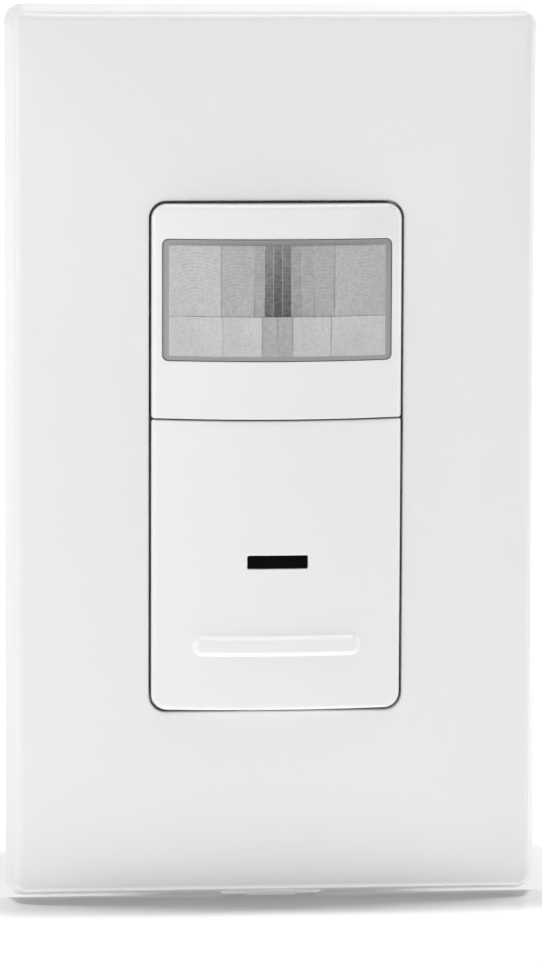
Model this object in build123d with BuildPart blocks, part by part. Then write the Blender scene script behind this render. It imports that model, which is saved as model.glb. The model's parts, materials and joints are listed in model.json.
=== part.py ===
"""Motion sensor light switch for a one-gang wall box, with its clip-on wall plate.

Lengths are in millimetres and angles in degrees. X points to the right, Z points up and Y points into
the wall. The origin is the centre of the wall plane, which is the back of the mounting strap, so the
front of the switch looks along -Y. A height is a distance in front of the wall, and a depth is a
distance into the wall box.
"""

from build123d import *
import math
import os

# Wall plate cover: a drafted rim, a gently domed face and the decorator opening
plate_width = 70.0
plate_height = 117.3
plate_corner = 2.4
plate_wall = 1.8
plate_face_wall = 1.5
plate_draft = 1.35
shoulder_height = 4.7
shoulder_corner = 1.3
shoulder_round = 0.9
face_height = 6.6
pillow_corner = 7.0
cavity_corner = 0.8
opening_width = 33.15
opening_height = 66.8
opening_corner = 2.3
collar_wall = 1.0
pry_tab_width = 12.85
pry_tab_proud = 0.25
pry_tab_depth = 1.2
pry_notch_width = 6.5
pry_notch_depth = 0.9
lug_length = 6.0
lug_height = 1.0
lug_spacing = 76.0
# How far from the shoulder to the opening, and how much of the face's rise, at each station
pillow_shares = [(0.0, 0.0), (0.42, 0.60), (1.0, 1.0)]

# Mounting subplate, which the cover clips on to
subplate_thickness = 1.2
subplate_corner = 3.0
subplate_opening_gap = 0.6
snap_reach = 0.45
snap_gap = 0.15
plate_screw_spacing = 96.84
subplate_hole_gap = 0.4
box_hole_gap = 1.2
slit_length = 9.0
slit_width = 2.6
slit_x = 20.0
slit_z = 44.0

# Mounting strap
strap_thickness = 1.5
strap_length = 105.0
strap_width = 42.0
strap_middle_length = 68.0
strap_neck_width = 30.0
strap_ear_length = 9.0
strap_corner = 1.6
strap_window_width = 29.0
strap_window_height = 51.0
strap_window_corner = 2.0
strap_bay_width = 19.8
strap_bay_height = 13.4
box_slot_length = 7.5
box_slot_gap = 0.35

# Number 6 screws: head, thread and the neck under the head
six_thread_r = 1.75
six_neck_r = 1.5
six_head_r = 3.45
six_head_height = 2.0
six_tap_gap = 0.12
box_screw_spacing = 83.34
box_screw_length = 25.0
plate_screw_length = 6.5
plate_head_r = 2.9
plate_head_height = 0.6
drive_slot_width = 1.0
drive_slot_depth = 0.9
screw_tip = 0.5
screw_tip_angle = 45
retainer_r = 4.5
retainer_thickness = 1.0
retainer_gap = 0.15

# Ground terminal on a tab that the strap bends back beside the lower box screw
ground_tab_length = 9.0
ground_tab_height = 8.5
ground_screw_z = -38.6
ground_thread_r = 1.9
ground_head_r = 3.7
ground_head_height = 2.2
ground_head_sides = 6
ground_screw_length = 6.0
ground_clamp_side = 6.6
ground_clamp_thickness = 0.9
ground_tap_gap = 0.12

# Front module: outline shared by frame, bezel and pad
side_gap = 0.32
end_gap = 0.4
device_corner = 2.0
device_side_height = 7.1
front_round = 0.55
seam_z = 5.15
seam_gap = 0.3
frame_base = 1.5
frame_deck_height = 5.4
frame_ring_wall = 2.4
frame_cross_wall = 1.4
pad_rim_wall = 1.0
pad_rim_height = 1.6
pad_rim_gap = 0.35
boss_r = 2.1
boss_height = 1.95
board_post_r = 1.2
board_post_x = 12.7
board_post_z = 10.0

# Lens bezel: its front is level up to the window's middle and rounds back above it
bezel_wall = 1.3
bezel_apex = 10.1
bezel_top_apex = 8.9
bezel_top_side_height = 6.9
front_sections = 5
window_width = 29.8
window_height = 15.8
window_z = 20.65
window_corner = 0.8

# Fresnel lens
lens_gap = 0.1
lens_flange_gap = 0.2
lens_sheet = 1.0
lens_recess = 0.35
lens_flange_reach = 1.0
lens_skirt = 1.0
facet_groove_width = 0.25
facet_groove_depth = 0.3
facet_split_share = -0.257
upper_facet_shares = [-0.5, -0.22, -0.13, -0.055, 0.028, 0.11, 0.19, 0.27, 0.38]
lower_facet_shares = [-0.49, -0.12, 0.02, 0.16, 0.51]

# Optical shroud between lens and detector
shroud_wall = 0.9
shroud_collar_gap = 0.2
shroud_front_width = 22.0
shroud_front_height = 12.9
shroud_rear_side = 12.0
shroud_rear_depth = 2.0
shroud_hole_gap = 0.5

# Push pad
pad_wall = 1.3
pad_top_apex = 9.8
pad_bottom_apex = 8.5
pad_bottom_side_height = 6.9
pad_skirt_height = 4.2
pad_top_wall_height = 6.2
slot_width = 7.9
slot_height = 1.78
slot_corner = 0.25
slot_z = -13.41
pill_width = 22.1
pill_height = 2.75
pill_rise = 0.5
pill_round = 0.35
pill_z = -24.45
hinge_z = 3.9
hinge_height = 4.2
trunnion_r = 0.75
trunnion_gap = 0.1
ear_thickness = 1.5
ear_width = 2.0
ear_x = 12.05
ear_gap = 0.3
bearing_thickness = 2.0
bearing_width = 3.2
bearing_top = 5.35

# Plunger under the pad, and the tact switch that it presses
plunger_lever = 12.0
plunger_r = 1.5
plunger_head_r = 2.4
plunger_head_height = 1.0
plunger_top = 5.6
plunger_gap = 0.1
plunger_rib_r = 1.6
guide_r = 2.6
guide_height = 1.0
tact_side = 6.0
tact_height = 3.4
tact_floor = 0.9
tact_cover_thickness = 0.3
tact_stem_r = 1.7
tact_stem_gap = 0.1
tact_stem_length = 2.8
tact_stem_proud = 1.0
tact_dome_r = 1.6
tact_dome_rise = 0.4
tact_dome_thickness = 0.12

# Return springs under the lower part of the pad
spring_x = 5.0
spring_z = -28.2
spring_r = 1.6
spring_wire = 0.3
spring_turns = 4.0
spring_peg_r = 1.1
spring_peg_height = 1.0
spring_seat_gap = 0.05
spring_seat_height = 6.5

# Slot window, light guide, indicator and light sensor
insert_gap = 0.1
insert_flange_reach = 1.3
insert_flange = 0.9
insert_recess = 0.6
guide_light_width = 8.0
guide_light_height = 3.0
guide_light_top = 6.3
guide_light_rear = 1.9
guide_light_flange_reach = 1.2
guide_light_flange = 1.0
guide_light_gap = 0.3
led_x = 2.2
led_r = 1.5
led_flange_r = 1.8
led_flange = 0.5
led_height = 3.0
photocell_r = 1.9
photocell_height = 2.0

# Setting dials
dial_spacing = 9.0
dial_z = -22.0
dial_side = 6.5
dial_base_height = 3.5
dial_knob_r = 2.6
dial_spindle_r = 1.3
dial_spindle_depth = 2.0
dial_gap = 0.2
dial_top = 3.4
dial_hole_gap = 0.4
dial_slot_width = 0.9
dial_slot_depth = 0.9

# Detector can
can_r = 4.6
can_flange_r = 4.9
can_flange = 0.4
can_height = 4.2
can_wall = 0.4
can_base = 1.0
can_window_width = 4.6
can_window_height = 3.4
filter_lap = 0.4
filter_thickness = 0.4

# Boards
board_thickness = 1.6
control_board_depth = 5.3
board_side_gap = 0.95
board_end_gap = 0.45
board_hole_gap = 0.5
power_board_depth = 26.0
power_board_gap = 0.2
power_board_height = 48.0
chip_side = 7.0
chip_height = 1.5
chip_z = 6.0

# Header between the boards
header_length = 20.0
header_width = 2.5
header_height = 2.5
header_z = -22.4
header_pins = 8
header_pitch = 2.54
header_pin = 0.64
socket_height = 8.5

# Parts on the power board
relay_width = 10.5
relay_length = 28.5
relay_height = 15.0
relay_margin = 0.65
relay_z = -5.6
part_round = 0.6
film_width = 6.0
film_length = 17.0
film_height = 12.0
film_gap = 1.5
film_z = -12.0
electrolytic_r = 5.0
electrolytic_height = 14.0
electrolytic_margin = 0.9
electrolytic_z = 3.6
electrolytic_groove = 0.4
varistor_r = 4.8
varistor_thickness = 3.4
varistor_margin = 1.0
varistor_z = -12.0
lead_r = 0.4
lead_spacing = 5.0
lead_standoff = 1.5
resistor_r = 1.7
resistor_length = 9.0
resistor_margin = 1.8
resistor_z = 19.5
choke_r = 4.0
choke_height = 9.0
choke_flange = 1.0
choke_margin = 1.9
choke_z = 15.6
rectifier_width = 6.0
rectifier_length = 8.5
rectifier_height = 2.6
rectifier_x = 2.4
rectifier_z = 13.2

# Rear housing
housing_width = 43.5
housing_height = 66.5
housing_depth = 32.3
housing_wall = 1.8
housing_corner = 2.5
housing_cavity_corner = 1.2
column_x = 12.4
column_z = 29.3
column_r = 3.3
column_seat_depth = 10.5
case_screw_r = 1.4
case_screw_gap = 0.15
case_screw_tip_height = 4.6
case_head_r = 2.4
case_head_height = 1.8
case_head_gap = 0.25
rear_post_r = 1.5
rear_post_x = 9.0
rear_post_z = 20.0

# Wire terminals in side pockets of the housing
terminal_z = 13.0
pocket_height = 14.0
pocket_reach = 7.45
pocket_front_depth = 8.7
pocket_rear_depth = 27.3
wire_bore_r = 1.35
wire_offset = 3.5
wire_gap = 2.9
terminal_thickness = 1.2
terminal_width = 11.0
terminal_margin = 0.6
tail_width = 3.0
tail_gap = 0.2
tail_lap = 0.4
clamp_thickness = 1.0
clamp_width = 10.4
clamp_length = 10.0
clamp_depth = 17.5
terminal_thread_r = 1.9
terminal_head_r = 3.6
terminal_head_height = 2.2
terminal_hole_gap = 0.15

# One overrun for every cut that has to pass right through, and a near-zero band for picking edges
overrun = 1.0
pick_band = 0.01

# Values worked out from the ones above
strap_front = strap_thickness
subplate_front = strap_front + subplate_thickness
frame_front = strap_front + frame_base
device_width = opening_width - 2 * side_gap
device_height = opening_height - 2 * end_gap
device_half = device_width / 2
bezel_bottom = seam_z + seam_gap / 2
pad_top = seam_z - seam_gap / 2
device_top = device_height / 2
pad_bottom = -device_height / 2
cross_wall_z = bezel_bottom + ear_gap
plunger_z = hinge_z - plunger_lever
board_front = -control_board_depth
board_back = board_front - board_thickness
tact_front = board_front + tact_height
stem_bottom = tact_front + tact_stem_proud - tact_stem_length + tact_cover_thickness
stem_top = stem_bottom + tact_stem_length
power_front = -power_board_depth
power_back = power_front - board_thickness
cavity_width = housing_width - 2 * housing_wall
cavity_height = housing_height - 2 * housing_wall
cavity_back = -(housing_depth - housing_wall)
pocket_floor_x = housing_width / 2 - pocket_reach
block_x = pocket_floor_x - housing_wall
block_front = board_back
control_board_width = cavity_width - 2 * board_side_gap
control_board_height = cavity_height - 2 * board_end_gap
power_board_width = 2 * (block_x - power_board_gap)
relay_x = relay_margin + relay_width / 2 - power_board_width / 2
choke_x = choke_margin + choke_r - power_board_width / 2
electrolytic_x = power_board_width / 2 - electrolytic_margin - electrolytic_r
varistor_x = power_board_width / 2 - varistor_margin - varistor_thickness / 2
film_x = varistor_x - varistor_thickness / 2 - film_gap - film_width / 2
resistor_x = power_board_width / 2 - resistor_margin - resistor_length / 2
wire_x = pocket_floor_x + terminal_thickness + wire_gap / 2
clamp_x = pocket_floor_x + terminal_thickness + wire_gap
subplate_width = (
    plate_width
    - 2 * plate_draft * subplate_front / shoulder_height
    - 2 * plate_wall
    - 2 * snap_reach
    - 2 * snap_gap
)
subplate_height = subplate_width + plate_height - plate_width
lens_width = window_width - 2 * lens_gap
lens_height = window_height - 2 * lens_gap
lens_seat = frame_deck_height
deck_inner_width = device_width - 2 * frame_ring_wall
# One terminal for each wire: its name, its side of the housing and its place up the housing
terminals = [
    ("line_terminal", 1, terminal_z),
    ("load_terminal", 1, -terminal_z),
    ("traveler_terminal", -1, -terminal_z),
]
dials = [
    ("time_dial", -dial_spacing),
    ("light_dial", 0),
    ("sensitivity_dial", dial_spacing),
]
corner_columns = [
    (-column_x, -column_z),
    (column_x, -column_z),
    (-column_x, column_z),
    (column_x, column_z),
]
os.makedirs("parts", exist_ok=True)


def level(height):
    """The plane parallel to the wall at this height in front of it."""
    return Plane.XZ.offset(height)


def save(piece, name):
    """Labels a finished piece and writes it to its own file."""
    piece.part.label = name
    export_step(piece.part, f"parts/{name}.step")


def bezel_front(z):
    """Heights of the bezel's side and apex at z: level to the window's middle, then rounding back."""
    share = max(0, z - window_z) / (device_top - window_z)
    side = device_side_height - share**2 * (device_side_height - bezel_top_side_height)
    return side, bezel_apex - share**2 * (bezel_apex - bezel_top_apex)


def pad_front(z):
    """Heights of the pad's side and apex at z: both fall away slowly towards its lower edge."""
    share = max(0, pad_top - z) / (pad_top - pad_bottom)
    side = device_side_height - share**2 * (device_side_height - pad_bottom_side_height)
    return side, pad_top_apex - share**2 * (pad_top_apex - pad_bottom_apex)


def front_height(front, x, z):
    """Height of a convex front at x and z: the apex less a drop that grows with the square of x."""
    side, apex = front(z)
    return apex - (apex - side) * (x / device_half) ** 2


def convex_form(half_width, back, front, low, high, drop):
    """A solid between two heights up the switch, from the back plane to a convex front.

    The front is an arc across the width at each of several sections, and drop lowers it.
    """
    with BuildPart() as form:
        for step in range(front_sections):
            place = low + (high - low) * step / (front_sections - 1)
            edge = front_height(front, half_width, place) - drop
            apex = front_height(front, 0, place) - drop
            with BuildSketch(Plane.XY.offset(place)):
                with BuildLine():
                    Polyline(
                        (-half_width, -edge),
                        (-half_width, -back),
                        (half_width, -back),
                        (half_width, -edge),
                    )
                    ThreePointArc((half_width, -edge), (0, -apex), (-half_width, -edge))
                make_face()
        loft()
    return form.part


def plate_form(inset, drop, rim_corner, top_corner):
    """The wall plate's outer form, or with an inset and a drop the hollow inside it."""
    foot_width = plate_width - 2 * inset
    foot_height = plate_height - 2 * inset
    top_width = foot_width - 2 * plate_draft
    top_height = foot_height - 2 * plate_draft
    with BuildPart() as form:
        with BuildSketch(level(0)):
            RectangleRounded(foot_width, foot_height, rim_corner)
        with BuildSketch(level(shoulder_height - drop)):
            RectangleRounded(top_width, top_height, top_corner)
        loft(ruled=True)
        for across, rise in pillow_shares:
            with BuildSketch(level(shoulder_height - drop + rise * (face_height - shoulder_height))):
                RectangleRounded(
                    top_width + across * (opening_width - top_width),
                    top_height + across * (opening_height - top_height),
                    top_corner + across * (pillow_corner - top_corner),
                )
        loft()
    return form.part


# Wall plate cover
cover_outside = plate_form(0, 0, plate_corner, shoulder_corner)
cover_inside = plate_form(plate_wall, plate_face_wall, cavity_corner, cavity_corner)
with BuildPart() as wallplate_cover:
    add(cover_outside)
    shoulder = wallplate_cover.edges().filter_by_position(
        Axis.Y, -shoulder_height - pick_band, -shoulder_height + pick_band
    )
    fillet(shoulder, radius=shoulder_round)
    add(cover_inside, mode=Mode.SUBTRACT)
    # The collar round the opening reaches back to the subplate
    with BuildSketch(level(subplate_front + spring_seat_gap)):
        RectangleRounded(
            opening_width + 2 * collar_wall, opening_height + 2 * collar_wall, opening_corner + collar_wall
        )
    extrude(amount=shoulder_height - subplate_front)
    with BuildSketch(level(-overrun)):
        RectangleRounded(opening_width, opening_height, opening_corner)
    extrude(amount=face_height + 2 * overrun, mode=Mode.SUBTRACT)
    # Four snap lugs stand in from the side walls, level with the subplate's edge
    for side in (-1, 1):
        with BuildSketch(level(strap_front + (subplate_thickness - lug_height) / 2)):
            with Locations(
                (side * (subplate_width / 2 + snap_gap + plate_wall / 2), lug_spacing / 2),
                (side * (subplate_width / 2 + snap_gap + plate_wall / 2), -lug_spacing / 2),
            ):
                Rectangle(plate_wall, lug_length)
        extrude(amount=lug_height)
    # The pry tab under the lower edge, with a notch behind it for a screwdriver
    with BuildSketch(level(0)):
        with Locations((0, -plate_height / 2 - pry_tab_proud + plate_wall / 2)):
            Rectangle(pry_tab_width, plate_wall)
    extrude(amount=pry_tab_depth)
    with BuildSketch(level(0)):
        with Locations((0, -plate_height / 2 + plate_wall / 2)):
            Rectangle(pry_notch_width, plate_wall + 2 * overrun)
    extrude(amount=pry_notch_depth, mode=Mode.SUBTRACT)
save(wallplate_cover, "wallplate_cover")

# Mounting subplate
with BuildPart() as mounting_subplate:
    with BuildSketch(level(strap_front)):
        RectangleRounded(subplate_width, subplate_height, subplate_corner)
        RectangleRounded(
            device_width + 2 * subplate_opening_gap + 2 * side_gap,
            device_height + 2 * subplate_opening_gap + 2 * side_gap,
            opening_corner,
            mode=Mode.SUBTRACT,
        )
        with Locations((0, box_screw_spacing / 2), (0, -box_screw_spacing / 2)):
            SlotOverall(
                box_slot_length + 2 * box_hole_gap, 2 * six_head_r + 2 * box_hole_gap, mode=Mode.SUBTRACT
            )
        with Locations((0, plate_screw_spacing / 2), (0, -plate_screw_spacing / 2)):
            Circle(six_neck_r + subplate_hole_gap, mode=Mode.SUBTRACT)
        with Locations((-slit_x, slit_z), (slit_x, slit_z), (-slit_x, -slit_z), (slit_x, -slit_z)):
            SlotOverall(slit_length, slit_width, mode=Mode.SUBTRACT)
    extrude(amount=subplate_thickness)
save(mounting_subplate, "mounting_subplate")

# The two screws that hold the subplate to the strap
with BuildPart() as subplate_screws:
    with BuildSketch(level(subplate_front - plate_screw_length)):
        with Locations((0, plate_screw_spacing / 2), (0, -plate_screw_spacing / 2)):
            Circle(six_neck_r)
    extrude(amount=plate_screw_length)
    with BuildSketch(level(subplate_front)):
        with Locations((0, plate_screw_spacing / 2), (0, -plate_screw_spacing / 2)):
            Circle(plate_head_r)
    extrude(amount=plate_head_height)
    with BuildSketch(level(subplate_front + plate_head_height / 2)):
        with Locations((0, plate_screw_spacing / 2), (0, -plate_screw_spacing / 2)):
            Rectangle(2 * six_head_r + overrun, drive_slot_width)
    extrude(amount=plate_head_height, mode=Mode.SUBTRACT)
save(subplate_screws, "subplate_screws")

# Mounting strap
with BuildPart() as mounting_strap:
    with BuildSketch(level(0)):
        RectangleRounded(strap_width, strap_middle_length, strap_corner)
        RectangleRounded(strap_neck_width, strap_length, strap_corner)
        ear_z = (strap_length - strap_ear_length) / 2
        with Locations((0, ear_z), (0, -ear_z)):
            RectangleRounded(strap_width, strap_ear_length, strap_corner)
        RectangleRounded(
            strap_window_width, strap_window_height, strap_window_corner, mode=Mode.SUBTRACT
        )
        # A bay for the shroud, which reaches a little higher between the screw holes
        with Locations((0, window_z)):
            Rectangle(strap_bay_width, strap_bay_height, mode=Mode.SUBTRACT)
        with Locations((0, box_screw_spacing / 2), (0, -box_screw_spacing / 2)):
            SlotOverall(box_slot_length, 2 * six_thread_r + 2 * box_slot_gap, mode=Mode.SUBTRACT)
        with Locations((0, plate_screw_spacing / 2), (0, -plate_screw_spacing / 2)):
            Circle(six_neck_r + six_tap_gap, mode=Mode.SUBTRACT)
        with Locations(*corner_columns):
            Circle(case_screw_r + board_hole_gap, mode=Mode.SUBTRACT)
    extrude(amount=strap_thickness)
    # The ground tab is bent back from the left edge of the lower neck
    with BuildSketch(level(strap_front)):
        with Locations((-strap_neck_width / 2 + strap_thickness / 2, ground_screw_z)):
            Rectangle(strap_thickness, ground_tab_height)
    extrude(amount=-(strap_front + ground_tab_length))
    with BuildSketch(Plane.YZ.offset(-strap_neck_width / 2 - overrun)):
        with Locations((ground_tab_length / 2, ground_screw_z)):
            Circle(ground_thread_r + ground_tap_gap)
    extrude(amount=strap_thickness + 2 * overrun, mode=Mode.SUBTRACT)
save(mounting_strap, "mounting_strap")

# The two captive screws that fasten the strap to the wall box
box_places = [(0, box_screw_spacing / 2), (0, -box_screw_spacing / 2)]
with BuildPart() as box_screws:
    with BuildSketch(level(-retainer_thickness - retainer_gap)):
        with Locations(*box_places):
            Circle(six_neck_r)
    extrude(amount=strap_front + retainer_thickness + retainer_gap)
    with BuildSketch(level(strap_front)):
        with Locations(*box_places):
            Circle(six_head_r)
    extrude(amount=six_head_height)
    with BuildSketch(level(strap_front + six_head_height - drive_slot_depth)):
        with Locations(*box_places):
            Rectangle(2 * six_head_r + overrun, drive_slot_width)
    extrude(amount=six_head_height, mode=Mode.SUBTRACT)
    with BuildSketch(level(-retainer_thickness - retainer_gap)):
        with Locations(*box_places):
            Circle(six_thread_r)
    extrude(amount=-(box_screw_length - retainer_thickness - retainer_gap - screw_tip))
    tips = box_screws.faces().sort_by(Axis.Y)[-2:]
    extrude(tips, amount=screw_tip, taper=screw_tip_angle)
save(box_screws, "box_screws")

# Retainers that keep the box screws in the strap
with BuildPart() as screw_retainers:
    with BuildSketch(level(0)):
        with Locations(*box_places):
            Circle(retainer_r)
            Circle(six_neck_r + retainer_gap, mode=Mode.SUBTRACT)
    extrude(amount=-retainer_thickness)
save(screw_retainers, "screw_retainers")

# Ground screw and its clamp on the strap's tab
ground_face_x = -strap_neck_width / 2
with BuildPart() as ground_clamp:
    with BuildSketch(Plane.YZ.offset(ground_face_x)):
        with Locations((ground_tab_length / 2, ground_screw_z)):
            Rectangle(ground_clamp_side, ground_clamp_side)
            Circle(ground_thread_r + ground_tap_gap, mode=Mode.SUBTRACT)
    extrude(amount=-ground_clamp_thickness)
save(ground_clamp, "ground_clamp")

with BuildPart() as ground_screw:
    with BuildSketch(Plane.YZ.offset(ground_face_x - ground_clamp_thickness)):
        with Locations((ground_tab_length / 2, ground_screw_z)):
            Circle(ground_thread_r)
    extrude(amount=ground_screw_length)
    with BuildSketch(Plane.YZ.offset(ground_face_x - ground_clamp_thickness)):
        with Locations((ground_tab_length / 2, ground_screw_z)):
            RegularPolygon(ground_head_r, ground_head_sides)
    extrude(amount=-ground_head_height)
    with BuildSketch(Plane.YZ.offset(ground_face_x - ground_clamp_thickness - ground_head_height)):
        with Locations((ground_tab_length / 2, ground_screw_z)):
            Rectangle(drive_slot_width, 2 * ground_head_r + overrun)
    extrude(amount=drive_slot_depth, mode=Mode.SUBTRACT)
save(ground_screw, "ground_screw")

# Front frame: base on the strap, ring round the lens, bearings and guides for the pad
shroud_hole_width = shroud_front_width + shroud_hole_gap
shroud_hole_height = shroud_front_height + shroud_hole_gap
ring_bottom = cross_wall_z
rim_width = device_width - 2 * pad_wall - 2 * pad_rim_gap
rim_bottom = pad_bottom + pad_wall + pad_rim_gap
bearing_x = ear_x - ear_thickness / 2 - ear_gap - bearing_thickness / 2
spring_places = [(-spring_x, spring_z), (spring_x, spring_z)]
with BuildPart() as front_frame:
    with BuildSketch(level(strap_front)):
        RectangleRounded(device_width, device_height, device_corner)
    extrude(amount=frame_base)
    # The ring that carries bezel and lens
    with BuildSketch(level(frame_front)):
        RectangleRounded(device_width, device_height, device_corner)
        with Locations((0, (ring_bottom + pad_bottom) / 2 - overrun)):
            Rectangle(
                device_width + overrun, ring_bottom - pad_bottom + 2 * overrun, mode=Mode.SUBTRACT
            )
        with Locations((0, (ring_bottom + frame_cross_wall + device_top - frame_ring_wall) / 2)):
            Rectangle(
                deck_inner_width,
                device_top - frame_ring_wall - ring_bottom - frame_cross_wall,
                mode=Mode.SUBTRACT,
            )
    extrude(amount=frame_deck_height - frame_front)
    # The low rim that the pad's skirt slides over
    with BuildSketch(level(frame_front)):
        with Locations((0, (rim_bottom + ring_bottom) / 2)):
            Rectangle(rim_width, ring_bottom - rim_bottom)
            Rectangle(
                rim_width - 2 * pad_rim_wall,
                ring_bottom - rim_bottom - 2 * pad_rim_wall,
                mode=Mode.SUBTRACT,
            )
    extrude(amount=pad_rim_height)
    # Gaps in the rim where the pad's ears hang
    with BuildSketch(level(frame_front)):
        with Locations(
            (ear_x, hinge_z - ear_width / 4),
            (-ear_x, hinge_z - ear_width / 4),
        ):
            Rectangle(ear_thickness + 2 * ear_gap, ear_width + 4 * ear_gap)
    extrude(amount=pad_rim_height, mode=Mode.SUBTRACT)
    # Bearing blocks for the pad's trunnions, standing against the cross wall
    with BuildSketch(level(frame_front)):
        with Locations(
            (bearing_x, ring_bottom - bearing_width / 2),
            (-bearing_x, ring_bottom - bearing_width / 2),
        ):
            Rectangle(bearing_thickness, bearing_width)
    extrude(amount=bearing_top - frame_front)
    with BuildSketch(Plane.YZ.offset(-device_half)):
        with Locations((-hinge_height, hinge_z)):
            Circle(trunnion_r + trunnion_gap)
    extrude(amount=device_width, mode=Mode.SUBTRACT)
    # Screw bosses, the plunger's guide and the spring pegs
    with BuildSketch(level(frame_front)):
        with Locations(*corner_columns):
            Circle(boss_r)
    extrude(amount=boss_height)
    with BuildSketch(level(frame_front)):
        with Locations((0, plunger_z)):
            Circle(guide_r)
    extrude(amount=guide_height)
    with BuildSketch(level(frame_front)):
        with Locations(*spring_places):
            Circle(spring_peg_r)
    extrude(amount=spring_peg_height)
    # Posts that press the control board on its seats
    with BuildSketch(level(strap_front)):
        with Locations(
            (-board_post_x, -board_post_z),
            (board_post_x, -board_post_z),
            (-board_post_x, board_post_z),
            (board_post_x, board_post_z),
        ):
            Circle(board_post_r)
    extrude(amount=board_front - strap_front)
    # Openings through the base
    with BuildSketch(level(strap_front - overrun)):
        with Locations((0, window_z)):
            Rectangle(shroud_hole_width, shroud_hole_height)
        with Locations((0, plunger_z)):
            Circle(plunger_r + plunger_gap)
        with Locations((0, slot_z)):
            Rectangle(
                guide_light_width + 2 * guide_light_gap, guide_light_height + 2 * guide_light_gap
            )
        for name, dial_x in dials:
            with Locations((dial_x, dial_z)):
                Circle(dial_knob_r + dial_hole_gap)
    extrude(amount=boss_height + frame_base + 2 * overrun, mode=Mode.SUBTRACT)
    with BuildSketch(level(strap_front - overrun)):
        with Locations(*corner_columns):
            Circle(case_screw_r + case_screw_gap)
    extrude(
        amount=case_screw_tip_height + case_screw_gap - strap_front + overrun, mode=Mode.SUBTRACT
    )
save(front_frame, "front_frame")

# Lens bezel
bezel_outside = convex_form(device_half, frame_deck_height, bezel_front, bezel_bottom, device_top, 0)
bezel_inside = convex_form(
    device_half - bezel_wall,
    frame_deck_height - overrun,
    bezel_front,
    bezel_bottom + bezel_wall,
    device_top - bezel_wall,
    bezel_wall,
)
with BuildPart() as lens_bezel:
    add(bezel_outside)
    with BuildSketch(level(frame_deck_height - overrun)):
        RectangleRounded(device_width, device_height, device_corner)
    extrude(amount=bezel_apex, mode=Mode.INTERSECT)
    fillet(lens_bezel.faces().sort_by(Axis.Y)[0].edges(), radius=front_round)
    add(bezel_inside, mode=Mode.SUBTRACT)
    with BuildSketch(level(frame_deck_height - overrun)):
        with Locations((0, window_z)):
            RectangleRounded(window_width, window_height, window_corner)
    extrude(amount=bezel_apex, mode=Mode.SUBTRACT)
save(lens_bezel, "lens_bezel")

# Fresnel lens: a flange behind the bezel, a raised window and grooves between its facets
flange_half = lens_height / 2 + lens_flange_reach
field_half_width = lens_width / 2 - lens_skirt
field_half_height = lens_height / 2 - lens_skirt
lens_flange = convex_form(
    lens_width / 2,
    lens_seat,
    bezel_front,
    window_z - flange_half,
    window_z + flange_half,
    bezel_wall + lens_flange_gap,
)
lens_front = convex_form(
    lens_width / 2,
    lens_seat,
    bezel_front,
    window_z - lens_height / 2,
    window_z + lens_height / 2,
    lens_recess,
)
lens_hollow = convex_form(
    field_half_width,
    lens_seat - overrun,
    bezel_front,
    window_z - field_half_height,
    window_z + field_half_height,
    lens_recess + lens_sheet,
)
groove_bed = convex_form(
    field_half_width,
    lens_seat - overrun,
    bezel_front,
    window_z - field_half_height,
    window_z + field_half_height,
    lens_recess + lens_sheet - facet_groove_depth,
)
split_z = window_z + facet_split_share * field_half_height * 2
with BuildPart() as facet_grooves:
    with BuildSketch(level(lens_seat - overrun)):
        with Locations((0, split_z)):
            Rectangle(2 * field_half_width, facet_groove_width)
        upper_half = (window_z + field_half_height - split_z) / 2
        for share in upper_facet_shares:
            with Locations((share * field_half_width, split_z + upper_half)):
                Rectangle(facet_groove_width, 2 * upper_half)
        lower_half = (split_z - window_z + field_half_height) / 2
        for share in lower_facet_shares:
            with Locations((share * field_half_width, split_z - lower_half)):
                Rectangle(facet_groove_width, 2 * lower_half)
    extrude(amount=bezel_apex)
    add(groove_bed, mode=Mode.INTERSECT)
with BuildPart() as lens_window:
    add(lens_front)
    with BuildSketch(level(lens_seat - overrun)):
        with Locations((0, window_z)):
            RectangleRounded(lens_width, lens_height, window_corner - lens_gap)
    extrude(amount=bezel_apex, mode=Mode.INTERSECT)
with BuildPart() as fresnel_lens:
    add(lens_flange)
    add(lens_window.part)
    add(lens_hollow, mode=Mode.SUBTRACT)
    add(facet_grooves.part, mode=Mode.SUBTRACT)
save(fresnel_lens, "fresnel_lens")

# Optical shroud: a collar in the frame's ring and a funnel back to the detector
with BuildPart() as optical_shroud:
    with BuildSketch(level(frame_front)):
        with Locations((0, window_z)):
            Rectangle(deck_inner_width - 2 * shroud_collar_gap, shroud_front_height)
    extrude(amount=lens_seat - frame_front)
    with BuildSketch(level(frame_front)):
        with Locations((0, window_z)):
            Rectangle(shroud_front_width, shroud_front_height)
    with BuildSketch(level(-shroud_rear_depth)):
        with Locations((0, window_z)):
            Rectangle(shroud_rear_side, shroud_rear_side)
    loft(ruled=True)
    with BuildSketch(level(lens_seat)):
        with Locations((0, window_z)):
            Rectangle(
                shroud_front_width - 2 * shroud_wall, shroud_front_height - 2 * shroud_wall
            )
    extrude(amount=frame_front - lens_seat, mode=Mode.SUBTRACT)
    with BuildSketch(level(frame_front)):
        with Locations((0, window_z)):
            Rectangle(
                shroud_front_width - 2 * shroud_wall, shroud_front_height - 2 * shroud_wall
            )
    with BuildSketch(level(-shroud_rear_depth)):
        with Locations((0, window_z)):
            Rectangle(shroud_rear_side - 2 * shroud_wall, shroud_rear_side - 2 * shroud_wall)
    loft(ruled=True, mode=Mode.SUBTRACT)
save(optical_shroud, "optical_shroud")

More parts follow.
